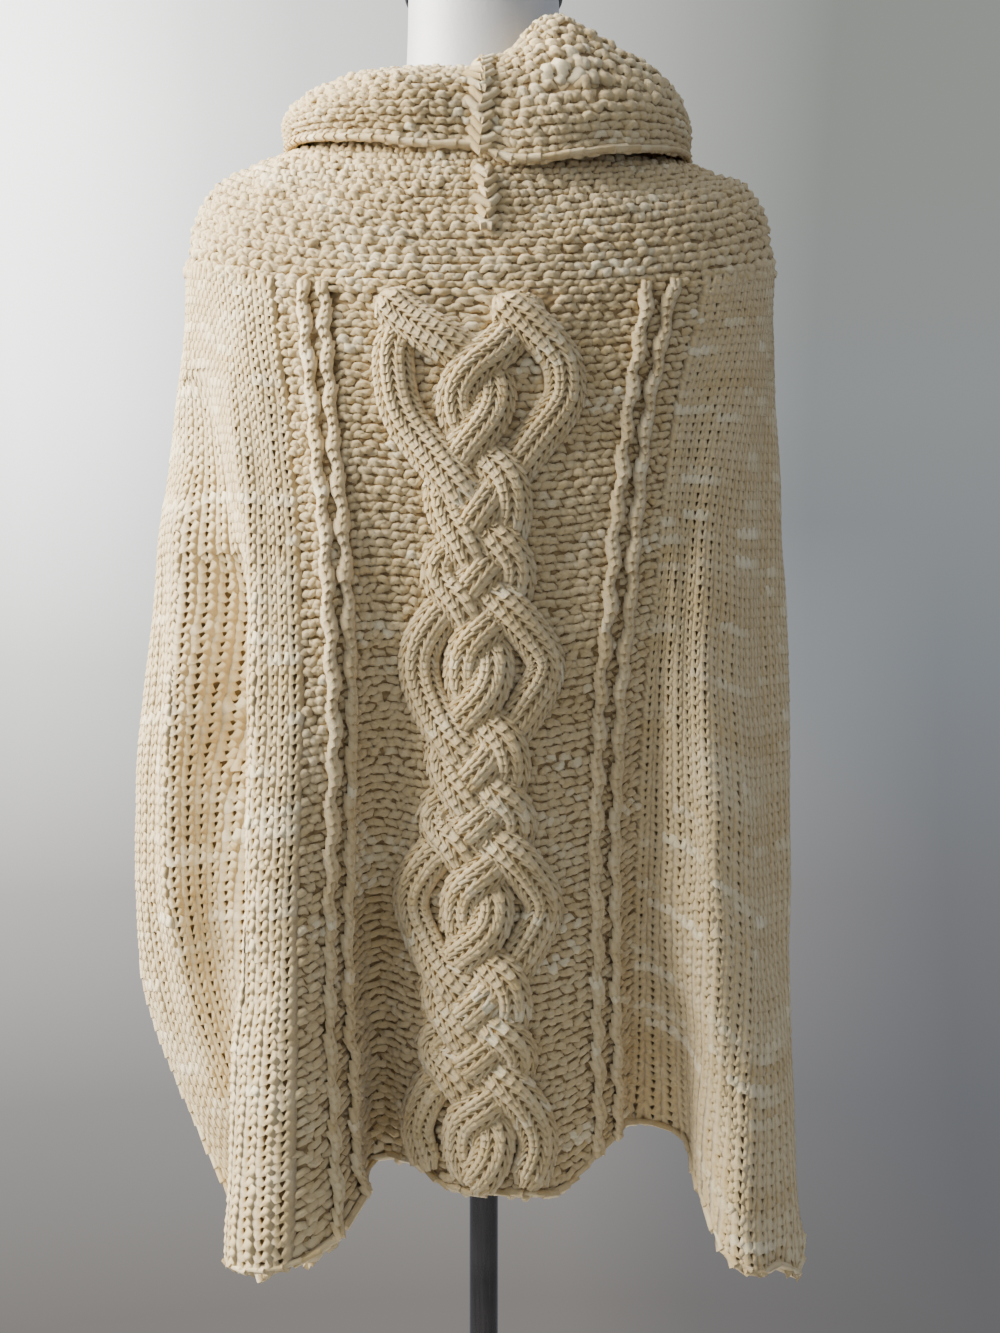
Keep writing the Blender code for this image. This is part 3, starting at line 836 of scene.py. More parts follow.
sheets = {
    "back_panel": sheet_piece(back, 110, 64),
    "front_panel": sheet_piece(front, 90, 56),
    "yoke": sheet_piece(yoke, 110, 16),
    "cowl_collar": sheet_piece(collar, 100, 22),
}
for piece in sheets.values():
    print(piece.name, len(piece.data.polygons), "faces")

# %% [markdown]
# ## One leg of yarn, many times
# Everything a knitter makes here is one short bent piece of yarn: a V has two legs, a purl bump is one
# arched bar, and a cast-off edge is a chain of them. So Geometry Nodes make one leg and place it at
# thousands of points. Every point says which way its leg runs, which way is out, how big it is and how
# pale the yarn is.


# %% Yarn leg tree
LEG_ATTRIBUTES = ("leg_way", "out_way", "leg_size")


def yarn_leg_tree():
    """The tree that bends one leg of yarn, and puts it at every point with its own way, facing and size."""
    tree = bpy.data.node_groups.new("yarn_legs", "GeometryNodeTree")
    keys = {}
    for name, kind in (
        ("Places", "NodeSocketGeometry"),
        ("Segments", "NodeSocketInt"),
        ("Sides", "NodeSocketInt"),
        ("Bow", "NodeSocketFloat"),
        ("Rise", "NodeSocketFloat"),
        ("Tip", "NodeSocketFloat"),
        ("Yarn", "NodeSocketMaterial"),
    ):
        keys[name] = tree.interface.new_socket(name=name, in_out="INPUT", socket_type=kind).identifier
    tree.interface.new_socket(name="Knit", in_out="OUTPUT", socket_type="NodeSocketGeometry")
    g = Graph(tree)
    given = tree.nodes.new("NodeGroupInput")
    wires = {name: Wire(g, given.outputs[name]) for name in keys}
    bend = g.node("ShaderNodeCombineXYZ", {}, {"X": wires["Bow"] * 2.0, "Z": wires["Rise"] * 2.0})
    line = g.node(
        "GeometryNodeCurveQuadraticBezier",
        {},
        {"Resolution": wires["Segments"], "Start": (0.0, -0.5, 0.0), "Middle": bend, "End": (0.0, 0.5, 0.0)},
    )
    factor = g.node("GeometryNodeSplineParameter", {}, {}, out="Factor")
    swell = (factor * math.pi).sine()
    radius = wires["Tip"] + (1.0 - wires["Tip"]) * swell
    line = g.node(
        "GeometryNodeStoreNamedAttribute",
        {"data_type": "FLOAT", "domain": "POINT"},
        {"Geometry": line, "Name": "along", "Value": factor},
    )
    line = g.node("GeometryNodeSetCurveRadius", {}, {"Curve": line, "Radius": radius})
    line = g.node("GeometryNodeSetCurveNormal", {"mode": "Z_UP"}, {"Curve": line})
    ring = g.node("GeometryNodeCurvePrimitiveCircle", {}, {"Resolution": wires["Sides"], "Radius": 0.5})
    leg = g.node("GeometryNodeCurveToMesh", {}, {"Curve": line, "Profile Curve": ring, "Fill Caps": True})
    leg = g.node("GeometryNodeSetShadeSmooth", {}, {"Geometry": leg, "Shade Smooth": True})
    way, out, size = (
        g.node("GeometryNodeInputNamedAttribute", {"data_type": "FLOAT_VECTOR"}, {"Name": name})
        for name in LEG_ATTRIBUTES
    )
    turn = g.node(
        "FunctionNodeAxesToRotation",
        {"primary_axis": "Y", "secondary_axis": "Z"},
        {"Primary Axis": way, "Secondary Axis": out},
    )
    placed = g.node(
        "GeometryNodeInstanceOnPoints",
        {},
        {"Points": wires["Places"], "Instance": leg, "Rotation": turn, "Scale": size},
    )
    real = g.node("GeometryNodeRealizeInstances", {}, {"Geometry": placed})
    done = g.node("GeometryNodeSetMaterial", {}, {"Geometry": real, "Material": wires["Yarn"]})
    end = tree.nodes.new("NodeGroupOutput")
    tree.links.new(done.socket, end.inputs["Knit"])
    return tree, keys


leg_tree, leg_keys = yarn_leg_tree()
print("tree", leg_tree.name, "has", len(leg_tree.nodes), "nodes")

# %% [markdown]
# ## From places to knitting
# A Legs record keeps where legs start and end. It can be joined to another one, and turned into a piece:
# a mesh of points goes through the tree, and the result becomes a plain mesh. Each leg then gets its own
# little cell in the map for baking.


# %% Legs
class Legs:
    """Many legs of yarn, each from one point to another, with a facing, a thickness and a slub."""

    def __init__(self, start, end, out, wide, thick, slub):
        count = len(start)
        self.start, self.end, self.out = start, end, out
        self.wide = np.broadcast_to(wide, count)
        self.thick = np.broadcast_to(thick, count)
        self.slub = np.broadcast_to(slub, count)

    def __len__(self):
        return len(self.start)

    def kept(self, which):
        return Legs(*(part[which] for part in self.parts()))

    def parts(self):
        return self.start, self.end, self.out, self.wide, self.thick, self.slub


def joined(*groups):
    all_parts = zip(*(group.parts() for group in groups))
    return Legs(*(np.concatenate(parts) for parts in all_parts))


def leg_map(mesh, count, segments, sides):
    """Corner places in the baking map: one square cell for each leg."""
    loops = np.empty(len(mesh.loops), np.int32)
    mesh.loops.foreach_get("vertex_index", loops)
    per_leg = len(loops) // count
    first = loops[:per_leg]
    template = np.zeros((per_leg, 2))
    for face in list(mesh.polygons)[: len(mesh.polygons) // count]:
        span = np.arange(face.loop_start, face.loop_start + face.loop_total)
        ring, side = first[span] // sides, (first[span] % sides).astype(float)
        if (ring == ring[0]).all():
            turn = side / sides * math.tau
            middle = 0.25 if ring[0] == 0 else 0.75
            template[span] = np.stack([middle + 0.08 * np.cos(turn), 0.09 + 0.08 * np.sin(turn)], axis=1)
            continue
        if side.max() - side.min() > 1.5:
            side[side == 0] = sides
        template[span] = np.stack([0.02 + side / sides * 0.94, 0.20 + ring / segments * 0.78], axis=1)
    cells = math.ceil(math.sqrt(count))
    leg = np.arange(count)
    corner = np.stack([leg % cells, leg // cells], axis=1)
    return ((corner[:, None, :] + 0.04 + template[None] * 0.92) / cells).reshape(-1, 2)


def knit_piece(name, legs, segments=3, sides=4, bow=0.0, rise=0.0, tip=0.42):
    """A piece of real yarn geometry from legs."""
    mesh = bpy.data.meshes.new(name + "_places")
    run = legs.end - legs.start
    length = np.linalg.norm(run, axis=1)
    mesh.from_pydata(((legs.start + legs.end) / 2).tolist(), [], [])
    sizes = np.stack([legs.wide, length, legs.thick], axis=1)
    for attribute, values in zip(LEG_ATTRIBUTES, (run / length[:, None], legs.out, sizes)):
        layer = mesh.attributes.new(attribute, "FLOAT_VECTOR", "POINT")
        layer.data.foreach_set("vector", values.astype(np.float32).ravel())
    layer = mesh.attributes.new("slub", "FLOAT", "POINT")
    layer.data.foreach_set("value", legs.slub.astype(np.float32))
    piece = add_piece(name, mesh)
    modifier = piece.modifiers.new("yarn", "NODES")
    modifier.node_group = leg_tree
    for key, value in (
        ("Segments", segments), ("Sides", sides), ("Bow", bow), ("Rise", rise), ("Tip", tip), ("Yarn", yarn),
    ):
        modifier[leg_keys[key]] = value
    graph = bpy.context.evaluated_depsgraph_get()
    knitted = bpy.data.meshes.new_from_object(piece.evaluated_get(graph), depsgraph=graph)
    piece.modifiers.remove(modifier)
    piece.data = knitted
    knitted.name = name
    for attribute in LEG_ATTRIBUTES:
        if attribute in knitted.attributes:
            knitted.attributes.remove(knitted.attributes[attribute])
    layer = knitted.uv_layers.new(name=BAKE_MAP)
    layer.data.foreach_set("uv", leg_map(knitted, len(legs), segments, sides).astype(np.float32).ravel())
    knitted.calc_loop_triangles()
    print(f"{name}: {len(legs)} legs, {len(knitted.loop_triangles)} triangles")
    return piece


pieces = {}

# %% [markdown]
# ## The back panel's plan
# Across the panel come plain stitches, two columns of purl, a pair of cords with a ladder of bars between
# them, the purl ground with the cable, and then the same in reverse. The cords follow two lines of the
# drape.

# %% Back panel plan
BACK_ROWS = round(back.length / ROW)
CORD_ASIDE = 0.0080
CORD_HALF = 0.0042
BESIDE_CORDS = 0.0200
CORD_DRIFT_DOWN = (0.00, 0.05, 0.20, 0.34, 0.46, 0.60, 1.00)
LEFT_DRIFT = (0.020, 0.016, 0.002, -0.002, 0.000, 0.000, 0.000)
RIGHT_DRIFT = (0.026, 0.022, 0.010, 0.003, -0.003, -0.004, -0.003)
CORDS_LEFT, CORDS_RIGHT = 0.1170, 0.0905
left_cords = back.u_of(0.5) - CORDS_LEFT / back.width
right_cords = back.u_of(0.5) + CORDS_RIGHT / back.width
cord_reach = (CORD_ASIDE + CORD_HALF) / back.width
purl_reach = cord_reach + BESIDE_CORDS / back.width
plan = {
    "left_plain": (0.0, left_cords - purl_reach),
    "left_purl": (left_cords - purl_reach, left_cords - cord_reach),
    "ground": (left_cords + cord_reach, right_cords - cord_reach),
    "right_purl": (right_cords + cord_reach, right_cords + purl_reach),
    "right_plain": (right_cords + purl_reach, 1.0),
}


def wales_in(cloth, first, last, wale=WALE):
    return max(1, round((last - first) * cloth.width / wale))


for name, (first, last) in plan.items():
    print(name, wales_in(back, first, last), "columns")

# %% [markdown]
# ## Plain and purl
# A plain stitch shows a V: two legs that start deep and far apart under the stitch above, and come
# forward and together below. A purl stitch shows the loop's head as a bar that arches up, and between the
# columns the feet of the next loops as bars that arch down. The slubs are laid along each row, because
# that is how yarn runs.


# %% Stitch patterns
hand = np.random.default_rng(5)
PLAIN_TOP_ASIDE, PLAIN_FOOT_ASIDE = 0.37, 0.13
PLAIN_TOP_UP, PLAIN_FOOT_DOWN = 0.86, 0.64
PLAIN_TOP_LIFT, PLAIN_FOOT_LIFT = -0.0012, 0.0004
PLAIN_WIDE, PLAIN_THICK = 0.82, 0.0034
PLAIN_BEND = {"sides": 3, "bow": 0.12, "rise": 0.15, "tip": 0.45}
FRONT_BEND = {"sides": 3, "bow": 0.12, "rise": 0.12, "tip": 0.45}
PURL_BARS = ((0.0, 0.0, 0.29, -0.0026), (0.5, 0.5, -0.27, -0.0028))
PURL_WIDE, PURL_THICK = 0.80, 0.0036
PURL_BEND = {"bow": -0.34, "rise": 0.72, "tip": 0.55}
PURL_SLUBS = {"share": 0.06, "longest": 2.2}


def slubs(wales, rows, share=0.045, longest=4.5):
    """How pale each stitch's yarn is: a low even level, with short pale runs along the rows."""
    pale = value_noise((wales, rows), (max(2, wales // 7), max(2, rows // 2)), hand, False) * 0.10 + 0.24
    for _ in range(round(wales * rows * share)):
        start, row = hand.integers(-3, wales), hand.integers(0, rows)
        run = np.arange(wales) - start
        length = hand.uniform(0.8, longest)
        pale[:, row] += hand.uniform(0.20, 0.75) * np.exp(-((run / length) ** 4)) * (run >= 0)
    return np.clip(pale, 0.0, 1.1)


def flowed(u, v):
    """Where a column of the back panel really lies: the cords drift, and the columns beside them follow."""
    shifts = [np.interp(v, CORD_DRIFT_DOWN, drift) / back.width for drift in (LEFT_DRIFT, RIGHT_DRIFT)]
    left, right = left_cords + shifts[0], right_cords + shifts[1]
    outside_left = u * left / left_cords
    between = left + (u - left_cords) * (right - left) / (right_cords - left_cords)
    outside_right = right + (u - right_cords) * (1 - right) / (1 - right_cords)
    return np.where(u < left_cords, outside_left, np.where(u < right_cords, between, outside_right))


def stitch_grid(first_u, last_u, wales, rows, first_v=0.0, last_v=1.0):
    """The middle of each stitch of a rectangle of cloth, and the size of a stitch, as shares of the cloth."""
    wale, row = (last_u - first_u) / wales, (last_v - first_v) / rows
    i, j = np.meshgrid(np.arange(wales), np.arange(rows), indexing="ij")
    return first_u + (i + 0.5) * wale, first_v + (j + 0.5) * row, wale, row


def leg_between(cloth, start, end, wide, thick, slub):
    """Legs from start to end, each an (u, v, lift) of arrays, on columns that follow the cloth's own flow."""
    if cloth is back:
        start, end = ((flowed(u, v), v, lift) for u, v, lift in (start, end))
    a, b = cloth.at(*start), cloth.at(*end)
    out = cloth.outward((start[0] + end[0]) / 2, (start[1] + end[1]) / 2)
    flat = [np.broadcast_to(part, a.shape[:-1]).ravel() for part in (wide, thick, slub)]
    return Legs(a.reshape(-1, 3), b.reshape(-1, 3), out.reshape(-1, 3), *flat)


def local_size(cloth, u, v, wale, row):
    """How wide and tall one stitch is here, in metres."""
    wide = np.linalg.norm(cloth.at(u + wale / 2, v) - cloth.at(u - wale / 2, v), axis=-1)
    tall = np.linalg.norm(cloth.at(u, v + row / 2) - cloth.at(u, v - row / 2), axis=-1)
    return wide, tall


def jitter(shape, size):
    return hand.normal(size=shape) * size


def plain_legs(cloth, grid, pale):
    """The two legs of each plain stitch, left ones and then right ones."""
    u, v, wale, row = grid
    wide, _ = local_size(cloth, u, v, wale, row)
    sides = []
    swell = 0.90 + 0.22 * pale + jitter(u.shape, 0.05)
    for side in (-1, 1):
        top_u = u + side * PLAIN_TOP_ASIDE * wale + jitter(u.shape, 0.05) * wale
        low_u = u + side * PLAIN_FOOT_ASIDE * wale + jitter(u.shape, 0.05) * wale
        top = (top_u, v - PLAIN_TOP_UP * row, PLAIN_TOP_LIFT)
        low = (low_u, v + PLAIN_FOOT_DOWN * row, PLAIN_FOOT_LIFT)
        ends = (top, low) if side < 0 else (low, top)
        sides.append(leg_between(cloth, *ends, wide * PLAIN_WIDE * swell, PLAIN_THICK * swell, pale))
    return joined(*sides)


def purl_legs(cloth, grid, pale, lift=0.0):
    """The arched bars of purl stitches: heads, and between them feet that are turned the other way."""
    u, v, wale, row = grid
    _, tall = local_size(cloth, u, v, wale, row)
    rows = []
    slant = jitter((1, u.shape[1]), 0.10)
    for aside, below, half, deep in PURL_BARS:
        swell = 0.94 + 0.26 * pale + jitter(u.shape, 0.10)
        middle_u = u + (aside + slant + jitter(u.shape, 0.07)) * wale
        middle_v = v + (below + jitter(u.shape, 0.08)) * row
        tip = lift + deep + jitter(u.shape, 0.0004)
        tilt = jitter(u.shape, 0.12) * row
        start = (middle_u - half * wale, middle_v - tilt, tip)
        end = (middle_u + half * wale, middle_v + tilt, tip)
        rows.append(leg_between(cloth, start, end, tall * PURL_WIDE * swell, PURL_THICK * swell, pale))
    return joined(*rows)


print("a plain stitch is", PLAIN_WALE * 1000, "by", ROW * 1000, "mm")

# %% [markdown]
# ## Plain sides
# The widest parts of the garment are plain stitches, which is why the folds look finely ribbed.

# %% Plain sides
for name in ("left_plain", "right_plain"):
    first, last = plan[name]
    wales = wales_in(back, first, last, PLAIN_WALE)
    grid = stitch_grid(first, last, wales, BACK_ROWS)
    legs = plain_legs(back, grid, slubs(wales, BACK_ROWS))
    pieces["back_" + name] = knit_piece("back_" + name, legs, **PLAIN_BEND)

# %% [markdown]
# ## The plaited cable
# Four strands run down the middle. Where an outer pair crosses, the strand that goes right lies on top,
# and in the middle the one that goes left does, as in any four-strand plait. Between two plaits the
# strands open into a loop. The strands are worked out as a sequence of crossings, and a smooth curve
# through them gives the path.

# %% Cable paths
REPEATS = (0.0286, 0.3433, 0.6118, 0.8705, 1.1300)
LOOP_WIDTHS = (1.12, 1.00, 0.96, 0.86)
ORDERS = ("ADAD", "BCBC", "CBCB", "DADA")
WAYS = {
    "A": "1 -17.5 10,6 -12 7,10.7 -8 -3,15.6 -2 -10,19.7 4.5 -4,24.6 8.4 2,30.7 8.4 5,37.7 5 9,"
    "43.9 -2 10,48.8 -10 5,52.9 -16 -4,57.4 -22 -10,62 -27 -4,68 -27 2,73.8 -22.7 6,79 -15.5 10,"
    "84.4 -9.7 8,89.8 -4.5 -2,94.3 .6 -10,98 5.8 -2",
    "B": "2.5 21.5 -10,6.1 16 -8,9.8 9 2,13.1 3.2 8,17.2 -3.9 10,22.5 -10.4 7,29.1 -13 3,36.1 -13 0,"
    "41.4 -9.7 -6,46.3 -3.9 -10,50.8 2.6 -3,54.5 9.7 6,59.4 16 10,65.6 19.4 8,71.3 20 3,"
    "76.6 18 -3,81.6 14 -10,86.1 9 -3,89.8 3.2 7,93.9 -2.6 10,97.5 -8.4 7",
    "C": "1.2 -16 -10,4.9 -26 -4,8.6 -33 0,13.9 -40 2,21.3 -46.6 3,29.5 -49 3,37.7 -46 3,45.1 -39.5 4,"
    "52 -31.7 7,58.2 -23.3 10,63.5 -15 8,68 -8.4 -2,72.1 -2 -10,76.6 4.5 0,80 10.4 9,84 17.5 10,"
    "89 23.3 5,94 24.5 0,98.5 22.5 -7",
    "D": ".4 11 6,5.7 20 10,10.7 28 8,16.8 36 4,23.8 43.4 2,30.3 44.7 1,37.3 40 1,43.4 33.7 0,"
    "49.2 28 -3,54.9 21.4 -10,59.4 15 -8,62.7 9 -1,66.8 4 7,71.7 -2.6 10,76.2 -8.4 6,79.5 -15 -4,"
    "82.4 -21 -10,85.7 -27.8 -4,91 -31.7 1,96 -28 4",
}
STARTS = {
    "A": "-6 -50 2,-4 -46 3,1.8 -39 7,6.7 -28.5 9,11.2 -16 3,14.7 -7.8 -5,19 0 -10,23.2 6.5 -4",
    "B": "-6 27 -4,-3 25 -6,0 23 -10,4 19 -6,8.8 14 2,13.7 7.8 8,18.6 -1.3 10,23.9 -8.4 7",
    "C": "-6 -37 -4,-3 -36 -6,2 -37 -10,6 -41 -7,10.5 -45 0,16.5 -48 3",
    "D": "-6 10 4,-3 12 6,1.8 20 10,6.7 28 8,12.3 36 5,18.6 42 3",
}
START_ENDS = 28.0
MIDDLE_DOWN = (0.03, 0.09, 0.17, 0.34, 0.60, 1.00)
MIDDLE_ASIDE = (0.0038, 0.0022, -0.0003, -0.0045, -0.0036, -0.0036)
STRAND_WIDE = 0.0255
STRAND_HIGH = 0.0074
CROSS_LIFT = 0.0033


def knots_of(text):
    return np.array([[float(number) for number in knot.split()] for knot in text.split(",")])


def strand_knots(order):
    """One strand's rows of (place in repeats, offset, level), from the part it plays in each repeat."""
    rows = []
    for number, part in enumerate(order):
        knots = knots_of(WAYS[part])
        if number == 0:
            start = knots_of(STARTS[part])
            knots = np.concatenate([start, knots[knots[:, 0] > max(START_ENDS, start[-1, 0] + 4)]])
        turn, offset, level = knots.T
        spread = 1 + (LOOP_WIDTHS[number] - 1) * np.clip((np.abs(offset) - 24) / 20, 0, 1)
        rows.append(np.stack([number + turn / 100, offset * spread / 1000, level / 10 * CROSS_LIFT], axis=1))
    return np.concatenate(rows)


def cable_line(rows, places):
    """A strand's (u, v, lift) on the back panel at places counted in repeats."""
    offset = smooth(rows[:, 0], list(rows[:, 1]), places)
    lift = smooth(rows[:, 0], list(rows[:, 2]), places)
    down = np.interp(places, np.arange(len(REPEATS)), REPEATS)
    down = np.where(places < 0, REPEATS[0] + places * (REPEATS[1] - REPEATS[0]), down)
    v = np.interp(down, back.downs, np.linspace(0, 1, len(back.downs)))
    middle = back.u_of(0.5) + np.interp(down, MIDDLE_DOWN, MIDDLE_ASIDE) / back.width
    return middle + offset / back.width, v, lift


strands = [strand_knots(order) for order in ORDERS]
print("each strand has", len(strands[0]), "knots")

# %% [markdown]
# ## Strands with stitches on them
# A strand is a band of plain stitches that was lifted off the ground. Its own closed tube gives it body,
# and four columns of V's lie round that tube, so the stitches turn with the strand as they do in real
# cables.

# %% Cable pieces
CABLE_TOP, CABLE_END = 0.010, 0.992
TUBE_SIDES = 12
TUBE_SHARE = 0.80
STRAND_BASE = 0.0002
STRAND_COLUMNS = (-1.14, -0.37, 0.37, 1.14)
STRAND_TOP_TURN, STRAND_FOOT_TURN = 0.29, 0.09
STRAND_TOP_SINK, STRAND_FOOT_LIFT = 0.0009, 0.0006
STRAND_LEG_WIDE, STRAND_LEG_THICK = 0.0056, 0.0031
STRAND_BEND = {"sides": 3, "bow": 0.10, "rise": 0.12}
HIDDEN_REACH = 0.007


def strand_frames(rows, step=0.0029):
    """Places along a strand one step apart, with its run, its side way and its outward way."""
    places = np.linspace(rows[0, 0], rows[-1, 0], 2400)
    u, v, lift = cable_line(rows, places)
    shown = (v > CABLE_TOP) & (v < CABLE_END)
    u, v, lift = u[shown], v[shown], lift[shown]
    line = back.at(u, v, lift + STRAND_BASE)
    travelled = np.concatenate([[0.0], np.cumsum(np.linalg.norm(np.diff(line, axis=0), axis=1))])
    even = np.arange(0, travelled[-1], step)
    line = np.stack([np.interp(even, travelled, line[:, k]) for k in range(3)], axis=1)
    u, v = np.interp(even, travelled, u), np.interp(even, travelled, v)
    run = np.gradient(line, axis=0)
    run /= np.linalg.norm(run, axis=1, keepdims=True)
    out = back.outward(u, v)
    out -= run * (out * run).sum(axis=1, keepdims=True)
    out /= np.linalg.norm(out, axis=1, keepdims=True)
    return line, run, np.cross(out, run), out, u, v


def strand_surface(frames, turn, share=1.0):
    """Points round a strand: turn 0 is its ridge, and a quarter turn is its side."""
    line, _, side, out, _, _ = frames
    ends = np.minimum(np.arange(len(line)), np.arange(len(line))[::-1]) / 4.0
    slim = np.clip(0.45 + ends, 0, 1)[:, None]
    across = math.sin(turn) * STRAND_WIDE / 2 * share
    up = math.cos(turn) * STRAND_HIGH * share
    return line + side * across * slim + out * up * slim


def strand_tube(frames):
    """The closed tube inside a strand."""
    count = len(frames[0])
    turns = np.linspace(0, math.tau, TUBE_SIDES + 1)
    rings = np.stack([strand_surface(frames, turn, TUBE_SHARE) for turn in turns[:-1]], axis=1)
    points = rings.reshape(-1, 3)
    faces = ring_faces(count, TUBE_SIDES)
    ends = [np.arange(TUBE_SIDES)[::-1], np.arange(TUBE_SIDES) + (count - 1) * TUBE_SIDES]
    return points, [*faces, *ends]


def strand_legs(frames, pale):
    """Four columns of V's round a strand."""
    line, run, side, out, _, _ = frames
    groups = []

    def on_tube(turn):
        return strand_surface(frames, turn)

    stitch = np.arange(1, len(line) - 2, 2)
    for number, middle in enumerate(STRAND_COLUMNS):
        for half in (-1, 1):
            top = on_tube(middle + half * STRAND_TOP_TURN)[stitch - 1]
            low = on_tube(middle + half * STRAND_FOOT_TURN)[stitch + 2]
            facing = side[stitch] * math.sin(middle) + out[stitch] * math.cos(middle)
            swell = 0.95 + 0.2 * pale[number][stitch] + jitter(len(stitch), 0.05)
            top = top - facing * STRAND_TOP_SINK
            low = low + facing * STRAND_FOOT_LIFT
            ends = (top, low) if half > 0 else (low, top)
            sizes = STRAND_LEG_WIDE * swell, STRAND_LEG_THICK * swell
            groups.append(Legs(*ends, facing, *sizes, pale[number][stitch]))
    return joined(*groups)


cable_groups, tube_points, tube_faces, frames_of = [], [], [], []
for rows in strands:
    frames = strand_frames(rows)
    frames_of.append(frames)
    table = len(STRAND_COLUMNS), len(frames[0])
    pale = slubs(*table, 0.05) + jitter(table, 0.06)
    cable_groups.append(strand_legs(frames, pale))
    points, faces = strand_tube(frames)
    before = sum(len(p) for p in tube_points)
    tube_faces.extend((face + before).tolist() for face in faces)
    tube_points.append(points)
pieces["back_cable"] = knit_piece("back_cable", joined(*cable_groups), **STRAND_BEND)
tubes = bpy.data.meshes.new("back_cable_core")
tubes.from_pydata(np.concatenate(tube_points).tolist(), [], tube_faces)
tubes.shade_smooth()
tubes.materials.append(strand_core)
pieces["back_cable_core"] = add_piece("back_cable_core", tubes)
print("cable core:", len(tubes.polygons), "faces")

# %% [markdown]
# ## Purl ground
# The ground behind the cable is purl, which sets the cable off. Bars that the strands would hide are left
# out.

# %% Purl ground
def hidden_by_strands(u, v, reach):
    """Which stitches lie well under a strand of the cable."""
    hidden = np.zeros(u.shape, bool)
    for frames in frames_of:
        line_u, line_v = frames[-2:]
        for a, b in zip(line_u[::2], line_v[::2]):
            hidden |= np.hypot((u - a) * back.width, (v - b) * back.length) < reach
    return hidden


ground = []
for name in ("left_purl", "ground", "right_purl"):
    first, last = plan[name]
    wales = wales_in(back, first, last)
    grid = stitch_grid(first, last, wales, BACK_ROWS)
    legs = purl_legs(back, grid, slubs(wales, BACK_ROWS, **PURL_SLUBS))
    if name == "ground":
        hidden = hidden_by_strands(flowed(grid[0], grid[1]), grid[1], HIDDEN_REACH).ravel()
        legs = legs.kept(~np.concatenate([hidden, hidden]))
    ground.append(legs)
pieces["back_purl"] = knit_piece("back_purl", joined(*ground), **PURL_BEND)

# %% [markdown]
# ## Cords
# Each cord is a single column of stitches that wanders a little from side to side, and the two of a pair
# wander opposite ways, so they almost meet and part again. Between them runs a deep ladder of bars.

# %% Cords
CORD_SWAY = 0.0017
CORD_PERIOD = 4.8
CORD_LIFT = 0.0026
CORD_WIDE, CORD_THICK = 0.0058, 0.0046
CORD_REACH = 0.72
LADDER_WIDE, LADDER_LIFT = 0.0100, -0.0006
cords, ladders = [], []
for middle in (left_cords, right_cords):
    start = hand.uniform(0, math.tau)
    for side in (-1, 1):
        _, v, _, row = stitch_grid(middle, middle, 1, BACK_ROWS)
        turn = np.arange(BACK_ROWS) / CORD_PERIOD * math.tau + start + np.cumsum(jitter(BACK_ROWS, 0.12))
        aside = side * (CORD_ASIDE - np.sin(turn) * CORD_SWAY) + jitter(BACK_ROWS, 0.0003)
        u = middle + aside[None] / back.width
        bulge = 1.0 + 0.26 * np.cos(turn)[None] + jitter((1, BACK_ROWS), 0.07)
        pale = slubs(1, BACK_ROWS, 0.05) + 0.12
        ahead = np.roll(u, -1, axis=1)
        ahead[:, -1] = u[:, -1]
        for half in (-1, 1):
            top = (u + half * 0.0016 / back.width, v - CORD_REACH * row, CORD_LIFT - 0.0012)
            low = (ahead + half * 0.0004 / back.width, v + CORD_REACH * row, CORD_LIFT + 0.0010)
            ends = (top, low) if half < 0 else (low, top)
            cords.append(leg_between(back, *ends, CORD_WIDE * bulge, CORD_THICK * bulge, pale))
    half = LADDER_WIDE / 2 / back.width
    grid = stitch_grid(middle - half, middle + half, 1, BACK_ROWS)
    ladders.append(purl_legs(back, grid, slubs(1, BACK_ROWS), LADDER_LIFT))
pieces["back_cords"] = knit_piece("back_cords", joined(*cords), bow=0.12)
pieces["back_ladders"] = knit_piece("back_ladders", joined(*ladders), **PURL_BEND)

# %% [markdown]
# ## Front, yoke and collar
# The front panel is plain all over, in two halves. The yoke and the cowl are purl, and the yoke's bars
# stop where the cowl covers it.

# %% Front, yoke and collar
FRONT_WALES, FRONT_ROWS = wales_in(front, 0, 1), round(front.length / ROW)
half = FRONT_WALES // 2
for name, first, last, wales in (
    ("front_right_plain", 0.0, half / FRONT_WALES, half),
    ("front_left_plain", half / FRONT_WALES, 1.0, FRONT_WALES - half),
):
    grid = stitch_grid(first, last, wales, FRONT_ROWS)
    legs = plain_legs(front, grid, slubs(wales, FRONT_ROWS))
    pieces[name] = knit_piece(name, legs, **FRONT_BEND)

YOKE_COVERED = 0.016
yoke_wales, yoke_rows = round(yoke.width * 1.06 / WALE), round(yoke.length / ROW)
grid = stitch_grid(0.0, 1.0, yoke_wales, yoke_rows, 0.0, 1.02)
legs = purl_legs(yoke, grid, slubs(yoke_wales, yoke_rows, **PURL_SLUBS))
places = yoke.at(grid[0], grid[1])
covered = np.hypot(places[..., 0], places[..., 1]) < collar_row(grid[0] * math.tau)["edge_r"] - YOKE_COVERED
legs = legs.kept(~np.concatenate([covered.ravel(), covered.ravel()]))
pieces["yoke_purl"] = knit_piece("yoke_purl", legs, **PURL_BEND)

COLLAR_FROM = 0.10
collar_wales = round(collar.width * 1.04 / WALE)
collar_rows = round(collar.length * (1 - COLLAR_FROM) / ROW)
grid = stitch_grid(0.0, 1.0, collar_wales, collar_rows, COLLAR_FROM, 1.0)
legs = purl_legs(collar, grid, slubs(collar_wales, collar_rows, 0.05, 2.2))
pieces["collar_purl"] = knit_piece("collar_purl", legs, **PURL_BEND)

# %% [markdown]
# ## Edges and the seam
# A knitted edge ends in a chain of cast-off loops, which rounds it off. The collar and yoke were also
# joined up the centre back, with a thick braided seam.


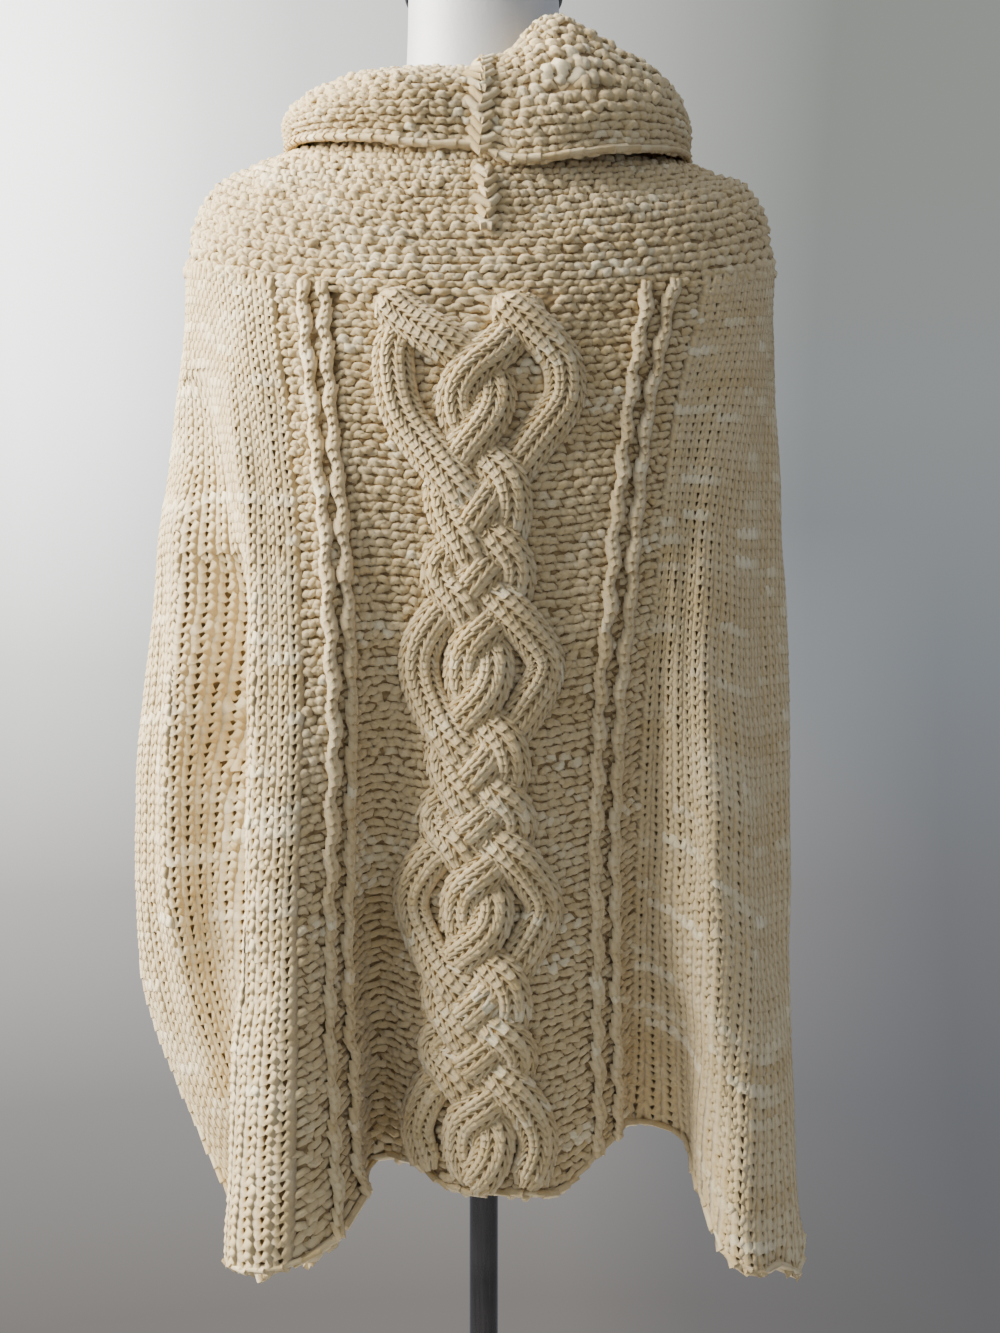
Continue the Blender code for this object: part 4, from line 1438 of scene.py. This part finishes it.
# %% Edges and seam
EDGE_STEP = 0.0085
EDGE_THICK = 0.0052
EDGE_DEPTHS = (0.0006, -0.0030)
EDGE_OVERLAP = 0.22
SEAM_STEP = 0.0072
SEAM_WIDE, SEAM_THICK = 0.0066, 0.0048


def edge_chain(cloth, along, fixed, across):
    """A chain of short legs along an edge. along is u or v, and fixed is where the edge lies on the other."""
    length = (cloth.width if along == "u" else cloth.length) * (across[1] - across[0])
    count = max(2, round(length / EDGE_STEP))
    steps = np.linspace(across[0], across[1], count + 1)
    over = (steps[1:] - steps[:-1]) * EDGE_OVERLAP
    pale = np.clip(0.3 + jitter(count, 0.25), 0, 1)
    groups = []
    for depth in EDGE_DEPTHS:
        fixed_now = fixed + jitter(count, 0.0010)
        ends = []
        for place, lift in ((steps[:-1] - over, depth - 0.0006), (steps[1:] + over, depth + 0.0008)):
            ends.append((place, fixed_now, lift) if along == "u" else (fixed_now, place, lift))
        thick = EDGE_THICK * (1 + jitter(count, 0.10))
        groups.append(leg_between(cloth, *ends, thick, thick, pale))
    return joined(*groups)


edges = []
for cloth in (back, front):
    edges.append(edge_chain(cloth, "u", 1.0, (0.0, 1.0)))
    for side in (0.001, 0.999):
        edges.append(edge_chain(cloth, "v", side, (cloth.v_of(VENT_TOP), 1.0)))
edges.append(edge_chain(collar, "u", 0.998, (0.0, 1.0)))
pieces["edges"] = knit_piece("edges", joined(*edges), bow=0.0, tip=0.5)


def seam_legs(cloth, middle, first_v, last_v, half):
    """A braid of slanting legs down one line."""
    count = round((last_v - first_v) * cloth.length / SEAM_STEP)
    v = np.linspace(first_v, last_v, count)
    step = SEAM_STEP / cloth.length
    groups = []
    for side in (-1, 1):
        outer_u = middle + side * half / cloth.width + jitter(count, 0.0022)
        inner_u = middle - side * 0.0010 / cloth.width + jitter(count, 0.0016)
        outer, inner = (outer_u, v - 0.45 * step, 0.0016), (inner_u, v + 0.75 * step, 0.0042)
        ends = (outer, inner) if side < 0 else (inner, outer)
        pale = np.clip(0.30 + jitter(count, 0.25), 0, 1)
        groups.append(leg_between(cloth, *ends, SEAM_WIDE, SEAM_THICK, pale))
    return joined(*groups)


seam = joined(
    seam_legs(collar, 0.0, 0.30, 0.985, half=0.0066),
    seam_legs(yoke, 0.004, yoke.v_of(0.42), yoke.v_of(0.68), half=0.0052),
)
pieces["centre_back_seam"] = knit_piece("centre_back_seam", seam, bow=0.1)

# %% [markdown]
# ## The stand
# The dress form is one smooth shell, lofted through its own sections. The cap, sleeve, pole and base are
# turned shapes: a profile of radius and height spun round the pole's axis, with more steps than the
# construction model.

# %% Stand shapes
FORM_COLUMNS = ("height", "half_width", "back", "front")
FORM_SECTIONS = [
    (1.520, 0.0555, 0.0555, 0.0555),
    (1.480, 0.0565, 0.0570, 0.0560),
    (1.445, 0.0590, 0.0610, 0.0585),
    (1.414, 0.0650, 0.0670, 0.0620),
    (1.394, 0.0980, 0.0720, 0.0660),
    (1.382, 0.1370, 0.0770, 0.0710),
    (1.369, 0.1640, 0.0830, 0.0790),
    (1.351, 0.1820, 0.0890, 0.0880),
    (1.325, 0.1910, 0.0950, 0.0970),
    (1.270, 0.1850, 0.1010, 0.1110),
    (1.195, 0.1690, 0.1010, 0.1200),
    (1.120, 0.1480, 0.0930, 0.1060),
    (1.045, 0.1290, 0.0840, 0.0880),
    (0.970, 0.1370, 0.0850, 0.0900),
    (0.905, 0.1480, 0.0840, 0.0920),
    (0.865, 0.1470, 0.0800, 0.0880),
]


def tube_piece(name, rings, material):
    """A closed piece from rings of points, top to bottom, with a fan at each end."""
    count, sides = rings.shape[:2]
    points = np.concatenate([rings.reshape(-1, 3), rings[0].mean(axis=0)[None], rings[-1].mean(axis=0)[None]])
    faces = ring_faces(count, sides)[:, [0, 3, 2, 1]].tolist()
    k = np.arange(sides)
    after = (k + 1) % sides
    top, low = count * sides, count * sides + 1
    faces += [[top, int(a), int(b)] for a, b in zip(k, after)]
    faces += [[low, int(b) + (count - 1) * sides, int(a) + (count - 1) * sides] for a, b in zip(k, after)]
    mesh = bpy.data.meshes.new(name)
    mesh.from_pydata(points.tolist(), [], faces)
    mesh.shade_smooth()
    mesh.set_sharp_from_angle(angle=math.radians(35))
    mesh.materials.append(material)
    return add_piece(name, mesh)


def turned(name, profile, material, sides=96):
    """A turned piece from (radius, height) points, top to bottom."""
    angles = np.linspace(0, math.tau, sides, endpoint=False)
    rings = np.stack(
        [np.stack([np.cos(angles) * r, np.sin(angles) * r, np.full(sides, z)], axis=1) for r, z in profile]
    )
    return tube_piece(name, rings, material)


def rounded(corners, radius, steps=5):
    """A profile whose inner corners are rounded off, each by an arc of a few points."""
    done = [corners[0]]
    for before, corner, after in zip(corners, corners[1:], corners[2:]):
        before, corner, after = (np.array(p, float) for p in (before, corner, after))
        first, second = before - corner, after - corner
        cut = min(radius, np.linalg.norm(first) / 2.2, np.linalg.norm(second) / 2.2)
        start = corner + first / np.linalg.norm(first) * cut
        end = corner + second / np.linalg.norm(second) * cut
        for t in np.linspace(0, 1, steps):
            done.append(tuple(start * (1 - t) ** 2 + corner * 2 * t * (1 - t) + end * t * t))
    return [*done, corners[-1]]


print("form has", len(FORM_SECTIONS), "sections")

# %% [markdown]
# ## Stand finishes
# The form is a moulded white shell with a soft gloss, faintly scuffed. The pole is dark plated tube with
# fine lines from polishing, and the base is black enamel over steel with a slight orange-peel surface.

# %% Stand materials
def shell_material():
    material, g, shader = new_material("white_shell", 0.35, Coat_Roughness=0.25, Specular_IOR_Level=0.5)
    place = g.node("ShaderNodeTexCoord", out="Object")
    cloud = g.noise(place, 9.0, 3.0)
    grain = g.noise(place, 420.0, 2.0)
    scuff = g.noise(place, 46.0, 5.0, 0.7)
    colour = g.mix((cloud * 0.6 + scuff * 0.3).held(), (0.54, 0.545, 0.56), (0.46, 0.465, 0.48))
    relief = g.bump(grain + scuff * 2.0, 0.0003, 0.4)
    feed(g, shader, Base_Color=colour, Roughness=0.30 + scuff * 0.25, Normal=relief)
    return material


def metal_material(name, dark, light, roughness, metallic, stretch, scale):
    """Polished or enamelled metal, with streaks along the way that stretch is small."""
    material, g, shader = new_material(name, roughness, Metallic=metallic)
    place = g.node("ShaderNodeTexCoord", out="Object")
    streaks = g.noise(g.node("ShaderNodeMapping", {}, {"Vector": place, "Scale": stretch}), scale, 3.0)
    smudge = g.noise(place, 30.0, 3.0)
    colour = g.mix((streaks * 0.5 + smudge * 0.5).held(), dark, light)
    rough = (roughness - 0.10) + streaks * 0.12 + smudge * 0.10
    feed(g, shader, Base_Color=colour, Roughness=rough, Normal=g.bump(streaks, 0.00015, 0.5))
    return material


white_shell = shell_material()
black_cap = metal_material(
    "black_moulded_cap", (0.012, 0.012, 0.012), (0.030, 0.030, 0.032), 0.40, 0.0, (1, 1, 1), 300.0
)
dark_plate = metal_material(
    "dark_plated_tube", (0.050, 0.045, 0.042), (0.150, 0.135, 0.125), 0.26, 1.0, (1, 1, 0.04), 900.0
)
enamel = metal_material(
    "black_enamel", (0.018, 0.018, 0.019), (0.034, 0.034, 0.036), 0.32, 0.0, (1, 1, 1), 500.0
)
print("four stand finishes")

# %% Stand pieces
AXIS = 0.0008
CAP_RADIUS, CAP_HEIGHT, CAP_ROUNDING = 0.0585, 0.014, 0.004
POLE_RADIUS, SLEEVE_RADIUS = 0.0105, 0.016
HUB_RADIUS = 0.030
BASE_THICKNESS, BASE_LIP = 0.010, 0.004
_, cap_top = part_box("neck_cap")
sleeve_low, sleeve_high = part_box("pole_sleeve")
pole_low, pole_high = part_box("pole")
_, base_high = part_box("stand_base")
heights = np.array(column(FORM_SECTIONS, FORM_COLUMNS, "height"))
stretches = [np.linspace(a, b, 4, endpoint=False) for a, b in zip(heights, heights[1:])]
fine = np.concatenate([*stretches, heights[-1:]])
down = (heights[0] - heights).tolist()
sections = row_at(FORM_SECTIONS, FORM_COLUMNS, down, heights[0] - fine)
around = np.linspace(0, math.tau, 96, endpoint=False)
ring_x, ring_y = oval(around[None], *(sections[name][:, None] for name in FORM_COLUMNS[1:]))
form_rings = stacked(ring_x, ring_y, fine[:, None])
pieces["form_shell"] = tube_piece("form_shell", form_rings, white_shell)


def post_profile(radius, top, bottom):
    """The profile of an upright cylinder, from the axis out, down and in again."""
    return [(AXIS, top), (radius, top), (radius, bottom), (AXIS, bottom)]


cap_profile = post_profile(CAP_RADIUS, cap_top[2], cap_top[2] - CAP_HEIGHT)
sleeve_profile = post_profile(SLEEVE_RADIUS, sleeve_high[2], sleeve_low[2])
pole_profile = post_profile(POLE_RADIUS, pole_high[2], pole_low[2])
pieces["cap"] = turned("cap", rounded(cap_profile, CAP_ROUNDING), black_cap)
pieces["sleeve"] = turned("sleeve", rounded(sleeve_profile, 0.0025), dark_plate, 64)
pieces["pole_tube"] = turned("pole_tube", rounded(pole_profile, 0.0008), dark_plate, 64)
base_radius = base_high[0]
hub_top = base_high[2]
base_profile = [
    (AXIS, hub_top),
    (HUB_RADIUS * 0.62, hub_top),
    (HUB_RADIUS * 0.80, hub_top - 0.008),
    (HUB_RADIUS, BASE_THICKNESS + 0.006),
    (HUB_RADIUS * 1.5, BASE_THICKNESS),
    (base_radius - BASE_LIP, BASE_THICKNESS - 0.002),
    (base_radius, BASE_THICKNESS - 0.006),
    (base_radius, 0.0),
    (AXIS, 0.0),
]
pieces["base_disc"] = turned("base_disc", rounded(base_profile, 0.004), enamel)
for name in ("form_shell", "cap", "sleeve", "pole_tube", "base_disc"):
    print(name, len(pieces[name].data.polygons), "faces")

# %% [markdown]
# ## Light and room
# A big soft light on the left, high up, does most of the work. It makes the folds read, and it falls off
# down the garment. The floor is pale and fades out before the camera could see it, and behind everything
# is a plain tone that goes from light on the left to dusk on the right.

# %% Light and room
KEY_PLACE = (-1.40, -0.10, 1.98)
KEY_SIZE = 1.4
KEY_WATTS = 200.0
KEY_COLOUR = (1.0, 0.955, 0.86)
FILL_STRENGTH = 0.56


def area_light(name, place, towards, size, watts, colour):
    light = bpy.data.lights.new(name, "AREA")
    light.shape, light.size, light.energy, light.color = "SQUARE", size, watts, colour
    holder = bpy.data.objects.new(name, light)
    holder.location = place
    way = np.array(towards, float) - np.array(place, float)
    flat = math.hypot(way[0], way[1])
    holder.rotation_euler = (math.atan2(flat, -way[2]), 0.0, math.atan2(way[1], way[0]) - math.pi / 2)
    bpy.context.scene.collection.objects.link(holder)


area_light("window", KEY_PLACE, (0.0, 0.0, 1.15), KEY_SIZE, KEY_WATTS, KEY_COLOUR)

BACKDROP_LEFT = [
    (0.07, (0.250, 0.235, 0.222)),
    (0.20, (0.377, 0.364, 0.355)),
    (0.34, (0.725, 0.690, 0.665)),
    (0.50, (1.490, 1.500, 1.420)),
    (0.69, (3.200, 3.250, 3.200)),
    (0.88, (4.250, 4.250, 4.150)),
]
BACKDROP_RIGHT = [
    (0.07, (0.144, 0.142, 0.148)),
    (0.20, (0.155, 0.160, 0.174)),
    (0.34, (0.189, 0.193, 0.206)),
    (0.50, (0.231, 0.251, 0.272)),
    (0.69, (0.295, 0.312, 0.318)),
    (0.88, (0.303, 0.320, 0.296)),
]
DUSK_HIGH = [(0.05, 0.0), (0.12, 0.18), (0.23, 0.55), (0.32, 0.71), (0.68, 0.95), (0.80, 1.0)]
DUSK_LOW = [(0.44, 0.0), (0.56, 0.08), (0.68, 0.58), (0.79, 0.77), (0.92, 1.0)]
FILL = (0.78, 0.84, 0.95)


def room():
    """A world that shows a plain gradient to the camera and gives everything else an even fill."""
    world = bpy.data.worlds.new("room")
    world.use_nodes = True
    bpy.context.scene.world = world
    g = Graph(world.node_tree)
    world.node_tree.nodes.clear()
    x, _, z = g.split(g.node("ShaderNodeTexCoord", out="Generated"))
    up = (z * 1.06 + 0.5).held()
    aside = (x * 1.42 + 0.5).held()
    left = g.node("ShaderNodeValToRGB", {"stops": BACKDROP_LEFT}, {"Fac": up})
    right = g.node("ShaderNodeValToRGB", {"stops": BACKDROP_RIGHT}, {"Fac": up})
    dusk = []
    for places in (DUSK_LOW, DUSK_HIGH):
        stops = [(place, (grey, grey, grey)) for place, grey in places]
        dusk.append(g.node("ShaderNodeValToRGB", {"stops": stops}, {"Fac": aside}))
    share = g.mix(((up - 0.15) * 2.2).held(), *dusk)
    seen = g.node("ShaderNodeBackground", {}, {"Color": g.mix(share, left, right), "Strength": 1.0})
    from_above = (z * 0.45 - x * 0.20 + 1.0) * FILL_STRENGTH
    fill = g.node("ShaderNodeBackground", {}, {"Color": FILL, "Strength": from_above})
    straight = g.node("ShaderNodeLightPath", {}, {}, out="Is Camera Ray")
    both = g.node("ShaderNodeMixShader", {}, {0: straight, 1: fill, 2: seen})
    output = world.node_tree.nodes.new("ShaderNodeOutputWorld")
    world.node_tree.links.new(both.socket, output.inputs["Surface"])


room()
FLOOR_RADIUS = 1.05
FLOOR_DROP = 0.0005
material, g, shader = new_material("pale_floor", 0.8)
place = g.node("ShaderNodeTexCoord", out="Object")
reach = g.node("ShaderNodeVectorMath", {"operation": "LENGTH"}, {0: place}, out="Value")
feed(
    g,
    shader,
    Base_Color=g.mix(g.noise(place, 14.0, 3.0), (0.62, 0.62, 0.61), (0.68, 0.68, 0.67)),
    Alpha=1.0 - ((reach - FLOOR_RADIUS * 0.45) / (FLOOR_RADIUS * 0.52)).held(),
)
bpy.ops.mesh.primitive_circle_add(
    vertices=96, radius=FLOOR_RADIUS, fill_type="TRIFAN", location=(0.0, 0.0, -FLOOR_DROP)
)
floor = bpy.context.active_object
floor.name = "floor"
floor.data.materials.append(material)
print("room done")

# %% [markdown]
# ## Attaching the pieces
# Every piece rides on the one body. The sheets stand for the construction model's cloth and the stand pieces
# for its stand, so those parts of the model are hidden, and the area each sheet hangs with is printed.

# %% Attach and hide
BACK_STITCHES = ("left_plain", "right_plain", "purl", "cords", "ladders", "cable", "cable_core")
SHEET_FACTS = {
    "back_panel": (back, (0.72, 0.64), [*("back_" + name for name in BACK_STITCHES), "edges"]),
    "front_panel": (front, (0.62, 0.63), ["front_left_plain", "front_right_plain"]),
    "yoke": (yoke, (0.95, 0.145), ["yoke_purl", "centre_back_seam"]),
    "cowl_collar": (collar, (0.76, 0.130), ["collar_purl"]),
}
STAND_FACTS = {
    "form_shell": ("dress_form", "form_shell"),
    "cap": ("neck_cap", "cap"),
    "sleeve": ("pole_sleeve", "pole_metal"),
    "pole_tube": ("pole", "pole_metal"),
    "base_disc": ("stand_base", "base_enamel"),
}


def area_of(cloth):
    """The area of one side of a cloth as it hangs."""
    across, down = slope_along(cloth.points, 0, False), slope_along(cloth.points, 1, False)
    return float(np.linalg.norm(np.cross(across, down), axis=-1).sum())


for name, piece in pieces.items():
    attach(piece, "root")
    node, slot = STAND_FACTS.get(name, (None, "knit"))
    if node:
        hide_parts(node)
for node, (cloth, flat, with_names) in SHEET_FACTS.items():
    sheet = sheets[node]
    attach(sheet, "root")
    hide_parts(node)
    print(node, "hangs with", round(area_of(cloth), 3), "square metres")
